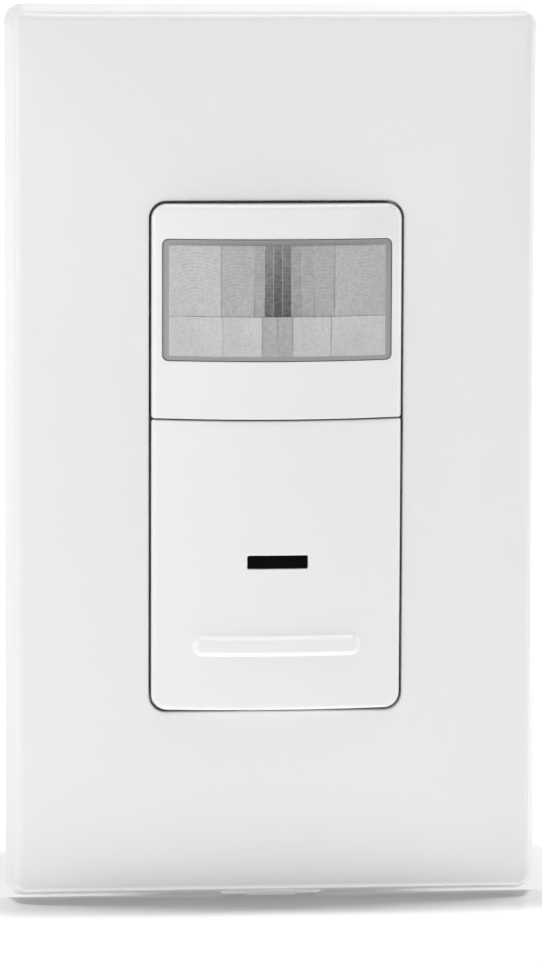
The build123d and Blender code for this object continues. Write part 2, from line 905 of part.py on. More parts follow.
# Pyroelectric detector: a flanged can with a window in its front
can_front = board_front + can_height
with BuildPart() as pir_detector:
    with BuildSketch(level(board_front)):
        with Locations((0, window_z)):
            Circle(can_flange_r)
    extrude(amount=can_flange)
    with BuildSketch(level(board_front)):
        with Locations((0, window_z)):
            Circle(can_r)
    extrude(amount=can_height)
    with BuildSketch(level(board_front + can_base)):
        with Locations((0, window_z)):
            Circle(can_r - can_wall)
    extrude(amount=can_height - can_base - can_wall, mode=Mode.SUBTRACT)
    with BuildSketch(level(can_front - can_wall)):
        with Locations((0, window_z)):
            Rectangle(can_window_width, can_window_height)
    extrude(amount=can_wall, mode=Mode.SUBTRACT)
save(pir_detector, "pir_detector")

with BuildPart() as pir_filter:
    with BuildSketch(level(can_front - can_wall)):
        with Locations((0, window_z)):
            Rectangle(can_window_width + 2 * filter_lap, can_window_height + 2 * filter_lap)
    extrude(amount=-filter_thickness)
save(pir_filter, "pir_filter")

# Push pad: a convex shell with ears, trunnions, a slot, a raised pill and a rib on the plunger
pad_outside = convex_form(device_half, pad_skirt_height, pad_front, pad_bottom, pad_top, 0)
pad_inside = convex_form(
    device_half - pad_wall,
    pad_skirt_height - overrun,
    pad_front,
    pad_bottom + pad_wall,
    pad_top - pad_wall,
    pad_wall,
)
pill_surface = convex_form(device_half, pad_skirt_height, pad_front, pad_bottom, pad_top, -pill_rise)
ear_foot = hinge_height - ear_width / 2
pad_fill = convex_form(
    device_half - pad_wall / 2, ear_foot, pad_front, pad_bottom, pad_top, pad_wall / 2
)
with BuildPart() as pill:
    add(pill_surface)
    with BuildSketch(level(device_side_height)):
        with Locations((0, pill_z)):
            SlotOverall(pill_width, pill_height)
    extrude(amount=pad_top_apex, mode=Mode.INTERSECT)
    fillet(pill.faces().sort_by(Axis.Y)[0].edges(), radius=pill_round)
with BuildPart() as pad_inner_parts:
    with BuildSketch(level(plunger_top + plunger_gap)):
        with Locations((0, plunger_z)):
            Circle(plunger_rib_r)
    extrude(amount=pad_top_apex)
    with BuildSketch(level(spring_seat_height)):
        with Locations(*spring_places):
            Circle(spring_r + spring_wire)
    extrude(amount=pad_top_apex)
    with BuildSketch(level(ear_foot)):
        with Locations((ear_x, hinge_z - ear_gap), (-ear_x, hinge_z - ear_gap)):
            Rectangle(ear_thickness, ear_width)
    extrude(amount=pad_top_apex)
    add(pad_fill, mode=Mode.INTERSECT)
with BuildPart() as push_pad:
    add(pad_outside)
    with BuildSketch(level(pad_skirt_height - overrun)):
        RectangleRounded(device_width, device_height, device_corner)
    extrude(amount=2 * pad_top_apex, mode=Mode.INTERSECT)
    fillet(push_pad.faces().sort_by(Axis.Y)[0].edges(), radius=front_round)
    add(pad_inside, mode=Mode.SUBTRACT)
    # The wall at the seam stops short of the frame's bearing blocks
    with BuildSketch(level(pad_skirt_height - overrun)):
        with Locations((0, pad_top - pad_wall / 2)):
            Rectangle(device_width + overrun, pad_wall + overrun)
    extrude(amount=pad_top_wall_height - pad_skirt_height + overrun, mode=Mode.SUBTRACT)
    add(pill.part)
    add(pad_inner_parts.part)
    for side in (-1, 1):
        with BuildSketch(Plane.YZ.offset(side * (ear_x - ear_thickness / 2))):
            with Locations((-hinge_height, hinge_z)):
                Circle(trunnion_r)
        extrude(amount=-side * (bearing_thickness + ear_gap))
    with BuildSketch(level(pad_skirt_height)):
        with Locations((0, slot_z)):
            RectangleRounded(slot_width, slot_height, slot_corner)
    extrude(amount=pad_top_apex, mode=Mode.SUBTRACT)
save(push_pad, "push_pad")

# Slot window: a dark insert pushed into the pad's slot from behind
insert_half = slot_width / 2 + insert_flange_reach
insert_flange_top = front_height(pad_front, insert_half, slot_z) - pad_wall - insert_gap
insert_front = front_height(pad_front, 0, slot_z) - insert_recess
with BuildPart() as slot_insert:
    with BuildSketch(level(insert_flange_top - insert_flange)):
        with Locations((0, slot_z)):
            Rectangle(2 * insert_half, slot_height + 2 * insert_flange_reach)
    extrude(amount=insert_flange)
    with BuildSketch(level(insert_flange_top)):
        with Locations((0, slot_z)):
            RectangleRounded(
                slot_width - 2 * insert_gap, slot_height - 2 * insert_gap, slot_corner - insert_gap
            )
    extrude(amount=insert_front - insert_flange_top)
save(slot_insert, "slot_insert")

# Light guide from the slot back to the indicator and the light sensor
with BuildPart() as light_guide:
    with BuildSketch(level(-guide_light_rear)):
        with Locations((0, slot_z)):
            Rectangle(guide_light_width, guide_light_height)
    extrude(amount=guide_light_rear + guide_light_top)
    with BuildSketch(level(frame_front)):
        with Locations((0, slot_z)):
            Rectangle(guide_light_width + 2 * guide_light_flange_reach, guide_light_height)
    extrude(amount=guide_light_flange)
save(light_guide, "light_guide")

with BuildPart() as indicator_led:
    with BuildSketch(level(board_front)):
        with Locations((led_x, slot_z)):
            Circle(led_r)
    extrude(amount=led_height)
    fillet(indicator_led.faces().sort_by(Axis.Y)[0].edges(), radius=led_r - lead_r)
    with BuildSketch(level(board_front)):
        with Locations((led_x, slot_z)):
            Circle(led_flange_r)
    extrude(amount=led_flange)
save(indicator_led, "indicator_led")

with BuildPart() as photocell:
    with BuildSketch(level(board_front)):
        with Locations((-led_x, slot_z)):
            Circle(photocell_r)
    extrude(amount=photocell_height)
    chamfer(photocell.faces().sort_by(Axis.Y)[0].edges(), length=lead_r / 2)
save(photocell, "photocell")

# Plunger between the pad and the tact switch
with BuildPart() as button_plunger:
    with BuildSketch(level(stem_top)):
        with Locations((0, plunger_z)):
            Circle(plunger_r)
    extrude(amount=plunger_top - stem_top)
    with BuildSketch(level(plunger_top - plunger_head_height)):
        with Locations((0, plunger_z)):
            Circle(plunger_head_r)
    extrude(amount=plunger_head_height)
save(button_plunger, "button_plunger")

# Tact switch: body, cover plate, stem and snap dome
tact_bore_r = tact_stem_r + tact_stem_gap
with BuildPart() as tact_switch_body:
    with BuildSketch(level(board_front)):
        with Locations((0, plunger_z)):
            Rectangle(tact_side, tact_side)
    extrude(amount=tact_height)
    with BuildSketch(level(board_front + tact_floor)):
        with Locations((0, plunger_z)):
            Circle(tact_bore_r)
    extrude(amount=tact_height - tact_floor, mode=Mode.SUBTRACT)
save(tact_switch_body, "tact_switch_body")

with BuildPart() as tact_switch_cover:
    with BuildSketch(level(tact_front)):
        with Locations((0, plunger_z)):
            Rectangle(tact_side, tact_side)
            Circle(tact_bore_r, mode=Mode.SUBTRACT)
    extrude(amount=tact_cover_thickness)
save(tact_switch_cover, "tact_switch_cover")

with BuildPart() as tact_switch_stem:
    with BuildSketch(level(stem_bottom)):
        with Locations((0, plunger_z)):
            Circle(tact_stem_r)
    extrude(amount=tact_stem_length)
save(tact_switch_stem, "tact_switch_stem")

dome_foot = board_front + tact_floor
dome_shoulder_r = tact_dome_r / 2
with BuildPart() as tact_switch_dome:
    with BuildSketch(level(dome_foot)):
        with Locations((0, plunger_z)):
            Circle(tact_dome_r)
    with BuildSketch(level(dome_foot + tact_dome_rise)):
        with Locations((0, plunger_z)):
            Circle(dome_shoulder_r)
    loft()
    with BuildSketch(level(dome_foot)):
        with Locations((0, plunger_z)):
            Circle(tact_dome_r - tact_dome_thickness)
    with BuildSketch(level(dome_foot + tact_dome_rise - tact_dome_thickness)):
        with Locations((0, plunger_z)):
            Circle(dome_shoulder_r)
    loft(mode=Mode.SUBTRACT)
save(tact_switch_dome, "tact_switch_dome")

# Return springs between the frame's pegs and the seats under the pad
spring_foot = frame_front + spring_seat_gap + spring_wire / 2
spring_length = spring_seat_height - spring_seat_gap - spring_wire / 2 - spring_foot
with BuildPart() as return_springs:
    for place_x, place_z in spring_places:
        with BuildLine() as coil:
            Helix(
                pitch=spring_length / spring_turns,
                height=spring_length,
                radius=spring_r,
                center=(place_x, -spring_foot, place_z),
                direction=(0, -1, 0),
            )
        with BuildSketch(Plane(origin=coil.line @ 0, z_dir=coil.line % 0)):
            Circle(spring_wire / 2)
        sweep(path=coil.line, is_frenet=True)
save(return_springs, "return_springs")
print("gap between spring turns", round(spring_length / spring_turns - spring_wire, 3))

# Setting dials: a square trimmer body on the board and a rotor that reaches the frame's front
dial_base_front = board_front + dial_base_height
for name, dial_x in dials:
    with BuildPart() as dial_base:
        with BuildSketch(level(board_front)):
            with Locations((dial_x, dial_z)):
                Rectangle(dial_side, dial_side)
        extrude(amount=dial_base_height)
        with BuildSketch(level(dial_base_front - dial_spindle_depth - dial_gap)):
            with Locations((dial_x, dial_z)):
                Circle(dial_spindle_r + dial_gap / 2)
        extrude(amount=dial_spindle_depth + dial_gap, mode=Mode.SUBTRACT)
    save(dial_base, f"{name}_base")
    with BuildPart() as dial_rotor:
        with BuildSketch(level(dial_base_front - dial_spindle_depth)):
            with Locations((dial_x, dial_z)):
                Circle(dial_spindle_r)
        extrude(amount=dial_spindle_depth + dial_gap)
        with BuildSketch(level(dial_base_front + dial_gap)):
            with Locations((dial_x, dial_z)):
                Circle(dial_knob_r)
        extrude(amount=dial_top - dial_base_front - dial_gap)
        with BuildSketch(level(dial_top - dial_slot_depth)):
            with Locations((dial_x, dial_z)):
                Rectangle(dial_slot_width, 2 * dial_knob_r + overrun)
        extrude(amount=dial_slot_depth, mode=Mode.SUBTRACT)
        with BuildSketch(level(dial_top - dial_slot_depth / 2)):
            with Locations((dial_x + dial_knob_r / 2, dial_z)):
                Circle(dial_slot_width / 2)
        extrude(amount=dial_slot_depth / 2, mode=Mode.SUBTRACT)
    save(dial_rotor, name)

# Control board with its microcontroller and the header to the power board
with BuildPart() as control_board:
    with BuildSketch(level(board_back)):
        Rectangle(control_board_width, control_board_height)
        with Locations(*corner_columns):
            Circle(case_screw_r + board_hole_gap, mode=Mode.SUBTRACT)
    extrude(amount=board_thickness)
save(control_board, "control_board")

with BuildPart() as microcontroller:
    with BuildSketch(level(board_back)):
        with Locations((0, chip_z)):
            Rectangle(chip_side, chip_side)
    extrude(amount=-chip_height)
    chamfer(microcontroller.faces().sort_by(Axis.Y)[-1].edges(), length=lead_r / 2)
save(microcontroller, "microcontroller")

with BuildPart() as board_header:
    with BuildSketch(level(board_back)):
        with Locations((0, header_z)):
            Rectangle(header_length, header_width)
    extrude(amount=-header_height)
    with BuildSketch(level(board_back - header_height)):
        with Locations((0, header_z)):
            with GridLocations(header_pitch, 0, header_pins, 1):
                Rectangle(header_pin, header_pin)
    extrude(amount=power_front + socket_height - board_back + header_height)
save(board_header, "board_header")

# Power board and what stands on it
with BuildPart() as power_board:
    with BuildSketch(level(power_back)):
        Rectangle(power_board_width, power_board_height)
    extrude(amount=board_thickness)
save(power_board, "power_board")

with BuildPart() as header_socket:
    with BuildSketch(level(power_front)):
        with Locations((0, header_z)):
            Rectangle(header_length, header_width)
    extrude(amount=socket_height)
save(header_socket, "header_socket")


def board_block(width, length, height, x, z):
    """A moulded case on the power board with rounded upright edges."""
    with BuildPart() as block:
        with BuildSketch(level(power_front)):
            with Locations((x, z)):
                RectangleRounded(width, length, part_round)
        extrude(amount=height)
        chamfer(block.faces().sort_by(Axis.Y)[0].edges(), length=part_round / 2)
    return block


save(board_block(relay_width, relay_length, relay_height, relay_x, relay_z), "relay")
save(board_block(film_width, film_length, film_height, film_x, film_z), "film_capacitor")
save(
    board_block(rectifier_width, rectifier_length, rectifier_height, rectifier_x, rectifier_z),
    "rectifier",
)

with BuildPart() as electrolytic_capacitor:
    with BuildSketch(level(power_front)):
        with Locations((electrolytic_x, electrolytic_z)):
            Circle(electrolytic_r)
    extrude(amount=electrolytic_height)
    fillet(electrolytic_capacitor.faces().sort_by(Axis.Y)[0].edges(), radius=electrolytic_groove)
    with BuildSketch(level(power_front + electrolytic_r / 2)):
        with Locations((electrolytic_x, electrolytic_z)):
            Circle(electrolytic_r)
            Circle(electrolytic_r - electrolytic_groove, mode=Mode.SUBTRACT)
    extrude(amount=2 * electrolytic_groove, mode=Mode.SUBTRACT)
save(electrolytic_capacitor, "electrolytic_capacitor")

varistor_height = power_front + lead_standoff + varistor_r
with BuildPart() as varistor:
    with BuildSketch(Plane.YZ.offset(varistor_x - varistor_thickness / 2)):
        with Locations((-varistor_height, varistor_z)):
            Circle(varistor_r)
    extrude(amount=varistor_thickness)
    fillet(varistor.edges(), radius=part_round)
    with BuildSketch(level(power_front)):
        with Locations(
            (varistor_x, varistor_z - lead_spacing / 2), (varistor_x, varistor_z + lead_spacing / 2)
        ):
            Circle(lead_r)
    extrude(amount=lead_standoff + varistor_r)
save(varistor, "varistor")

resistor_height = power_front + lead_standoff / 2 + resistor_r
with BuildPart() as fusible_resistor:
    with BuildSketch(Plane.YZ.offset(resistor_x - resistor_length / 2)):
        with Locations((-resistor_height, resistor_z)):
            Circle(resistor_r)
    extrude(amount=resistor_length)
    fillet(fusible_resistor.edges(), radius=part_round)
    with BuildSketch(level(power_front)):
        with Locations(
            (resistor_x - lead_spacing / 2, resistor_z), (resistor_x + lead_spacing / 2, resistor_z)
        ):
            Circle(lead_r)
    extrude(amount=lead_standoff / 2 + resistor_r)
save(fusible_resistor, "fusible_resistor")

with BuildPart() as choke:
    with BuildSketch(level(power_front)):
        with Locations((choke_x, choke_z)):
            Circle(choke_r)
    extrude(amount=choke_height)
    with BuildSketch(level(power_front + choke_flange)):
        with Locations((choke_x, choke_z)):
            Circle(choke_r)
            Circle(choke_r - choke_flange, mode=Mode.SUBTRACT)
    extrude(amount=choke_height - 2 * choke_flange, mode=Mode.SUBTRACT)
save(choke, "choke")

# Rear housing: a deep tray with screw columns, terminal pockets and wire entries
rib_places = [(-(block_x + cavity_width / 2) / 2, terminal_z)]
with BuildPart() as rear_housing:
    with BuildSketch(level(0)):
        RectangleRounded(housing_width, housing_height, housing_corner)
    extrude(amount=-housing_depth)
    with BuildSketch(level(0)):
        RectangleRounded(cavity_width, cavity_height, housing_cavity_corner)
    extrude(amount=cavity_back, mode=Mode.SUBTRACT)
    with BuildSketch(level(block_front)):
        for name, side, place_z in terminals:
            with Locations((side * (block_x + housing_width / 2) / 2, place_z)):
                Rectangle(housing_width / 2 - block_x, pocket_height + 2 * housing_wall)
        with Locations(*rib_places):
            Rectangle(cavity_width / 2 - block_x, housing_wall)
        with Locations(*corner_columns):
            Circle(column_r)
    extrude(amount=-housing_depth - block_front)
    with BuildSketch(level(power_back)):
        with Locations(
            (-rear_post_x, -rear_post_z),
            (rear_post_x, -rear_post_z),
            (-rear_post_x, rear_post_z),
            (rear_post_x, rear_post_z),
        ):
            Circle(rear_post_r)
    extrude(amount=cavity_back - power_back)
    # Pockets, open at the sides
    with BuildSketch(level(-pocket_front_depth)):
        for name, side, place_z in terminals:
            with Locations((side * (pocket_floor_x + housing_width / 2 + overrun) / 2, place_z)):
                Rectangle(housing_width / 2 + overrun - pocket_floor_x, pocket_height)
    extrude(amount=pocket_front_depth - pocket_rear_depth, mode=Mode.SUBTRACT)
    # Wire entries through the back, two to a terminal
    with BuildSketch(level(-pocket_rear_depth + overrun)):
        for name, side, place_z in terminals:
            with Locations(
                (side * wire_x, place_z - wire_offset), (side * wire_x, place_z + wire_offset)
            ):
                Circle(wire_bore_r)
    extrude(amount=pocket_rear_depth - housing_depth - 2 * overrun, mode=Mode.SUBTRACT)
    for name, side, place_z in terminals:
        # Room for the screw's tip, and a slot for the terminal's tail
        with BuildSketch(Plane.YZ.offset(side * pocket_floor_x)):
            with Locations((clamp_depth, place_z)):
                Circle(terminal_thread_r + terminal_hole_gap)
        extrude(amount=-side * (terminal_thickness - tail_gap / 2), mode=Mode.SUBTRACT)
        with BuildSketch(Plane.YZ.offset(side * (pocket_floor_x + overrun))):
            with Locations((power_board_depth - terminal_thickness / 2, place_z)):
                Rectangle(terminal_thickness + 2 * tail_gap, tail_width + 2 * tail_gap)
        extrude(amount=-side * (housing_wall + 2 * overrun), mode=Mode.SUBTRACT)
    # Screw passages with deep seats for the heads
    with BuildSketch(level(0)):
        with Locations(*corner_columns):
            Circle(case_screw_r + case_screw_gap)
    extrude(amount=-column_seat_depth, mode=Mode.SUBTRACT)
    with BuildSketch(level(-column_seat_depth)):
        with Locations(*corner_columns):
            Circle(case_head_r + case_head_gap)
    extrude(amount=column_seat_depth - housing_depth - overrun, mode=Mode.SUBTRACT)
save(rear_housing, "rear_housing")

# The four screws that clamp housing, strap and front frame together
with BuildPart() as housing_screws:
    with BuildSketch(level(-column_seat_depth)):
        with Locations(*corner_columns):
            Circle(case_screw_r)
    extrude(amount=column_seat_depth + case_screw_tip_height)
    with BuildSketch(level(-column_seat_depth)):
        with Locations(*corner_columns):
            Circle(case_head_r)
    extrude(amount=-case_head_height)
    with BuildSketch(level(-column_seat_depth - case_head_height)):
        with Locations(*corner_columns):
            Rectangle(case_head_r, drive_slot_width / 2)
            Rectangle(drive_slot_width / 2, case_head_r)
    extrude(amount=case_head_height / 2, mode=Mode.SUBTRACT)
save(housing_screws, "housing_screws")

# Wire terminals: a brass plate in each pocket with a tail on the power board
for name, side, place_z in terminals:
    with BuildPart() as terminal_plate:
        with BuildSketch(level(-pocket_front_depth - terminal_margin)):
            with Locations((side * (pocket_floor_x + terminal_thickness / 2), place_z)):
                Rectangle(terminal_thickness, terminal_width)
        extrude(amount=pocket_front_depth - pocket_rear_depth + 2 * terminal_margin)
        with BuildSketch(Plane.YZ.offset(side * (pocket_floor_x + terminal_thickness))):
            with Locations((power_board_depth - terminal_thickness / 2, place_z)):
                Rectangle(terminal_thickness, tail_width)
        tail_end = power_board_width / 2 - tail_lap
        extrude(amount=-side * (pocket_floor_x + terminal_thickness - tail_end))
        with BuildSketch(Plane.YZ.offset(side * (pocket_floor_x - overrun))):
            with Locations((clamp_depth, place_z)):
                Circle(terminal_thread_r + terminal_hole_gap)
        extrude(amount=side * (terminal_thickness + 2 * overrun), mode=Mode.SUBTRACT)
    save(terminal_plate, name)

with BuildPart() as wire_clamps:
    for name, side, place_z in terminals:
        with BuildSketch(Plane.YZ.offset(side * clamp_x)):
            with Locations((clamp_depth, place_z)):
                Rectangle(clamp_length, clamp_width)
                Circle(terminal_thread_r + terminal_hole_gap, mode=Mode.SUBTRACT)
        extrude(amount=side * clamp_thickness)
save(wire_clamps, "wire_clamps")

with BuildPart() as terminal_screws:
    for name, side, place_z in terminals:
        with BuildSketch(Plane.YZ.offset(side * (pocket_floor_x - terminal_thickness / 2))):
            with Locations((clamp_depth, place_z)):
                Circle(terminal_thread_r)
        extrude(amount=side * (clamp_x + clamp_thickness - pocket_floor_x + terminal_thickness / 2))
        with BuildSketch(Plane.YZ.offset(side * (clamp_x + clamp_thickness))):
            with Locations((clamp_depth, place_z)):
                Circle(terminal_head_r)
        extrude(amount=side * terminal_head_height)
        with BuildSketch(
            Plane.YZ.offset(side * (clamp_x + clamp_thickness + terminal_head_height))
        ):
            with Locations((clamp_depth, place_z)):
                Rectangle(2 * terminal_head_r + overrun, drive_slot_width)
        extrude(amount=-side * drive_slot_depth, mode=Mode.SUBTRACT)
save(terminal_screws, "terminal_screws")
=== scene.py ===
"""Looks of a motion sensor light switch with its clip-on wall plate.

Lengths are in metres. X points to the right, Z up and Y into the wall, and a height is a distance in
front of the wall, so a point at a height h has y = -h.
"""
import json
import math

import bpy
import numpy as np
from bpy.props import FloatProperty, FloatVectorProperty, PointerProperty
from bpy.types import Operator, Panel, PropertyGroup
from mathutils import Matrix, Vector


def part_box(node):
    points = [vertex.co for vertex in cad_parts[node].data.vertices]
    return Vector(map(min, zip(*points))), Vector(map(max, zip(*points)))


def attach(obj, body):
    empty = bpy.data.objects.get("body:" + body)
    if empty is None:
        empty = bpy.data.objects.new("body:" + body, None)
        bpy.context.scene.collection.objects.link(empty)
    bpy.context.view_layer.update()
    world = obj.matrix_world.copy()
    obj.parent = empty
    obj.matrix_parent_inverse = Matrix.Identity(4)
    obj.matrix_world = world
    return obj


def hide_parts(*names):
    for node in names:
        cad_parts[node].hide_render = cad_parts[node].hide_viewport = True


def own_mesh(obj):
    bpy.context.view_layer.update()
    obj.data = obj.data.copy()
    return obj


bl_info = {
    "name": "Sensor switch looks",
    "version": (1, 0, 0),
    "blender": (4, 5, 0),
    "location": "3D View > Sidebar > Sensor switch",
    "description": "Builds the moulded fronts, the lens and the finishes of a sensor light switch",
    "category": "Add Mesh",
}

MM = 0.001
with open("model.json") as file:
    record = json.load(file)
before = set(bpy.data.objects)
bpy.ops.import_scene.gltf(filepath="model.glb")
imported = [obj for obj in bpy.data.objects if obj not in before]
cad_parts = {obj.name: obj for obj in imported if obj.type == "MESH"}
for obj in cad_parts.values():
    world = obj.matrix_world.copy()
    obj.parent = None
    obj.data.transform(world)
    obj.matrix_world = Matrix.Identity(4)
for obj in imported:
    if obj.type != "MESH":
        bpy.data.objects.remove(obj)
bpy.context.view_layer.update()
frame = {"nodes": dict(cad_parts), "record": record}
PLATE_LOW, PLATE_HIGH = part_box("wallplate_cover")
BEZEL_LOW, BEZEL_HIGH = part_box("lens_bezel")
PAD_LOW, PAD_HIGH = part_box("push_pad")
LENS_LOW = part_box("fresnel_lens")[0]
SCREW_LOW, SCREW_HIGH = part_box("box_screws")

# The pad rocks about a line across the switch, at this place up it and this far in front of the wall
HINGE_Z, HINGE_HEIGHT = 0.0039, 0.0042

# A round or stadium outline's corners take this share of its half height, so that each side has a length
ROUND_SHARE = 0.98

# Borders of the facets from left to right, in millimetres, and how far up its row a facet's rings have
# their centre, for the upper and the lower row
UPPER_BORDERS = np.array([-7.39, -3.17, -1.88, -0.72, 0.45, 1.61, 2.99, 4.61, 7.32]) * MM
LOWER_BORDERS = np.array([-7.27, -2.14, -0.14, 1.84, 6.86]) * MM
UPPER_CENTRE_SHARE, LOWER_CENTRE_SHARE = 0.12, 0.7

# Places of a colour mix's two colours among its inputs, and of its result among its outputs
MIX_FIRST, MIX_SECOND, MIX_RESULT = 6, 7, 2


def size(name, value, description):
    """A length property in metres."""
    return FloatProperty(
        name=name, description=description, default=value, unit="LENGTH", subtype="DISTANCE", precision=5
    )


def share(name, value, description):
    """A property without a unit, such as a strength or a share."""
    return FloatProperty(name=name, description=description, default=value)


def paint(name, value, description):
    """A colour property, given as an sRGB hex value."""
    return FloatVectorProperty(
        name=name, description=description, subtype="COLOR", size=3, min=0, max=1, default=linear(value)
    )


def linear(hex_colour):
    """Turns an sRGB hex value such as "#f0f0f0" into linear red, green and blue, by the sRGB curve."""
    knee, slope, offset, power = 0.04045, 12.92, 0.055, 2.4
    parts = np.array([int(hex_colour[i : i + 2], 16) for i in (1, 3, 5)]) / 255
    low, high = parts / slope, ((parts + offset) / (1 + offset)) ** power
    return tuple(float(v) for v in np.where(parts <= knee, low, high))


class PlateSizes(PropertyGroup):
    opening_width: size("Opening width", 0.03315, "Width of the opening for the switch")
    opening_height: size("Opening height", 0.0668, "Height of the opening for the switch")
    opening_corner: size("Opening corner", 0.0023, "Corner radius of the opening")
    opening_lip: size("Opening lip", 0.0003, "Rounding of the opening's front edge")
    foot_corner: size("Foot corner", 0.0024, "Corner radius of the rim on the wall")
    shoulder_corner: size("Shoulder corner", 0.0013, "Corner radius where side and face meet")
    shoulder_height: size("Shoulder height", 0.0047, "Height where side and face meet")
    shoulder_round: size("Shoulder round", 0.0009, "How far the rounded shoulder reaches each way")
    draft: size("Draft", 0.00135, "How far the side leans in up to the shoulder")
    side_wall: size("Side wall", 0.0018, "Thickness of the sides")
    face_wall: size("Face wall", 0.0015, "Thickness of the face")
    collar_wall: size("Collar wall", 0.001, "Thickness of the collar round the opening")
    collar_back: size("Collar back", 0.00275, "Height of the collar's rear edge")
    tab_half: size("Tab half width", 0.006425, "Half the width of the pry tab under the plate")
    tab_depth: size("Tab depth", 0.0012, "How far the pry tab reaches forward")
    notch_half: size("Notch half width", 0.00325, "Half the width of the notch behind the tab")
    notch_depth: size("Notch depth", 0.0009, "Depth of the notch behind the tab")
    crown: share("Crown", 0.739, "How much the face bulges between shoulder and opening")


class DeviceSizes(PropertyGroup):
    corner: size("Corner", 0.002, "Corner radius of the switch's outer corners")
    seam_corner: size("Seam corner", 0.00035, "Corner radius beside the seam")
    edge_round: size("Edge round", 0.0006, "Rounding of the front edges")
    wall: size("Wall", 0.0013, "Thickness of the moulded walls")
    side_height: size("Side height", 0.0071, "Height of the front at its sides")
    bezel_apex: size("Bezel apex", 0.0101, "Height of the bezel along its middle")
    bezel_top_side: size("Bezel top side", 0.0069, "Height of the bezel's upper corners")
    bezel_top_apex: size("Bezel top apex", 0.0089, "Height of the middle of the bezel's upper edge")
    pad_apex: size("Pad apex", 0.0098, "Height of the pad's middle at the seam")
    pad_low_side: size("Pad low side", 0.0069, "Height of the pad's lower corners")
    pad_low_apex: size("Pad low apex", 0.0085, "Height of the middle of the pad's lower edge")
    pad_skirt: size("Pad skirt", 0.0042, "Height of the pad's rear edge")
    pad_top_skirt: size("Pad top skirt", 0.0062, "Height of the pad's rear edge beside the seam")
    seam_reach: size("Seam reach", 0.00006, "How far each front reaches into the seam")
    seam_tight: share("Seam tightness", 0.25, "Share of the edge rounding that the edges at the seam have")
    window_width: size("Window width", 0.0298, "Width of the lens window")
    window_height: size("Window height", 0.0158, "Height of the lens window")
    window_z: size("Window place", 0.02065, "Height of the window's middle up the switch")
    window_corner: size("Window corner", 0.0008, "Corner radius of the window")
    window_lip: size("Window lip", 0.00025, "Rounding of the window's edge")
    slot_width: size("Slot width", 0.0079, "Width of the light slot")
    slot_height: size("Slot height", 0.00178, "Height of the light slot")
    slot_corner: size("Slot corner", 0.00025, "Corner radius of the light slot")
    slot_z: size("Slot place", -0.01341, "Height of the slot's middle up the switch")
    bar_width: size("Bar width", 0.0221, "Width of the raised bar on the pad")
    bar_height: size("Bar height", 0.00275, "Height of the raised bar on the pad")
    bar_rise: size("Bar rise", 0.00058, "How far the bar stands out of the pad")
    bar_bevel: size("Bar bevel", 0.00058, "Width of the bevel round the bar")
    bar_z: size("Bar place", -0.02445, "Height of the bar's middle up the switch")


class LensSizes(PropertyGroup):
    field_half: size("Field half width", 0.01405, "Half the width of the facet field")
    field_low: size("Field low", 0.01341, "Height up the switch of the field's lower edge")
    field_split: size("Field split", 0.01852, "Height up the switch of the line between the two rows")
    field_high: size("Field high", 0.02776, "Height up the switch of the field's upper edge")
    field_rise: size("Field rise", 0.00014, "How far the facets stand out of the plain band")
    rib_half: size("Rib half width", 0.00009, "Half the width of the lines between the facets")
    rib_rise: size("Rib rise", 0.00005, "How far the lines between the facets stand out")
    groove_pitch: size("Groove pitch", 0.00045, "Distance from one ring of a facet to the next")
    groove_depth: size("Groove depth", 0.0001, "Depth of the rings of a facet")
    # Widths of the painted shade that darkens the middle facets of the lens
    shade_upper: size("Upper shade", 0.0020, "Half the width of the shade in the upper row")
    shade_lower: size("Lower shade", 0.0021, "Half the width of the shade in the lower row")


class StageLevels(PropertyGroup):
    sky: share("Sky", 0.3, "Strength of the plain light from all round")
    floor_glow: share("Floor glow", 0.0, "Light that the floor adds to its own look near the switch")
    far_glow: share("Far glow", 0.9, "Light that the floor adds to its own look far from the switch")
    left_power: share("Left lamp", 4.2, "Power of the lamp at the left, in watts")
    right_power: share("Right lamp", 3.6, "Power of the lamp at the right, in watts")
    top_power: share("Top lamp", 4.5, "Power of the lamp above, in watts")
    rear_power: share("Rear lamp", 17.0, "Power of the strip above that lights the floor alone, in watts")
    back_power: share("Back lamp", 5.0, "Power of the lamp that shows the rear housing, in watts")
    front_power: share("Front lamp", 6.5, "Power of the lamp behind the camera, in watts")
    low_power: share("Low lamp", 3.5, "Power of the lamp below, like light off a table, in watts")


class FinishColours(PropertyGroup):
    cover_plastic: paint("Wall plate", "#eeeeee", "Gloss ABS of the wall plate")
    device_plastic: paint("Bezel and pad", "#efefef", "Gloss polycarbonate of bezel and pad")
    # The lens band's grey is painted shade: the band darkened where the inside shows through it
    lens_plastic: paint("Lens band", "#a3a3a6", "Milky polyethylene of the lens and its shaded band")
    lens_facet: paint("Lens facets", "#cdcdcf", "Milky polyethylene of the facets")
    # Painted shade: the colour that stands in for the dark shroud and housing seen through the facets
    lens_shade: paint("Lens shade", "#464648", "What the dark shroud behind it makes of the facets")
    housing_plastic: paint("Rear housing", "#1c1c1e", "Glass-filled nylon of the rear housing")


def settings():
    """The sizes of plate, device and lens that a user can change, as three groups."""
    scene = bpy.context.scene
    return scene.plate_sizes, scene.device_sizes, scene.lens_sizes


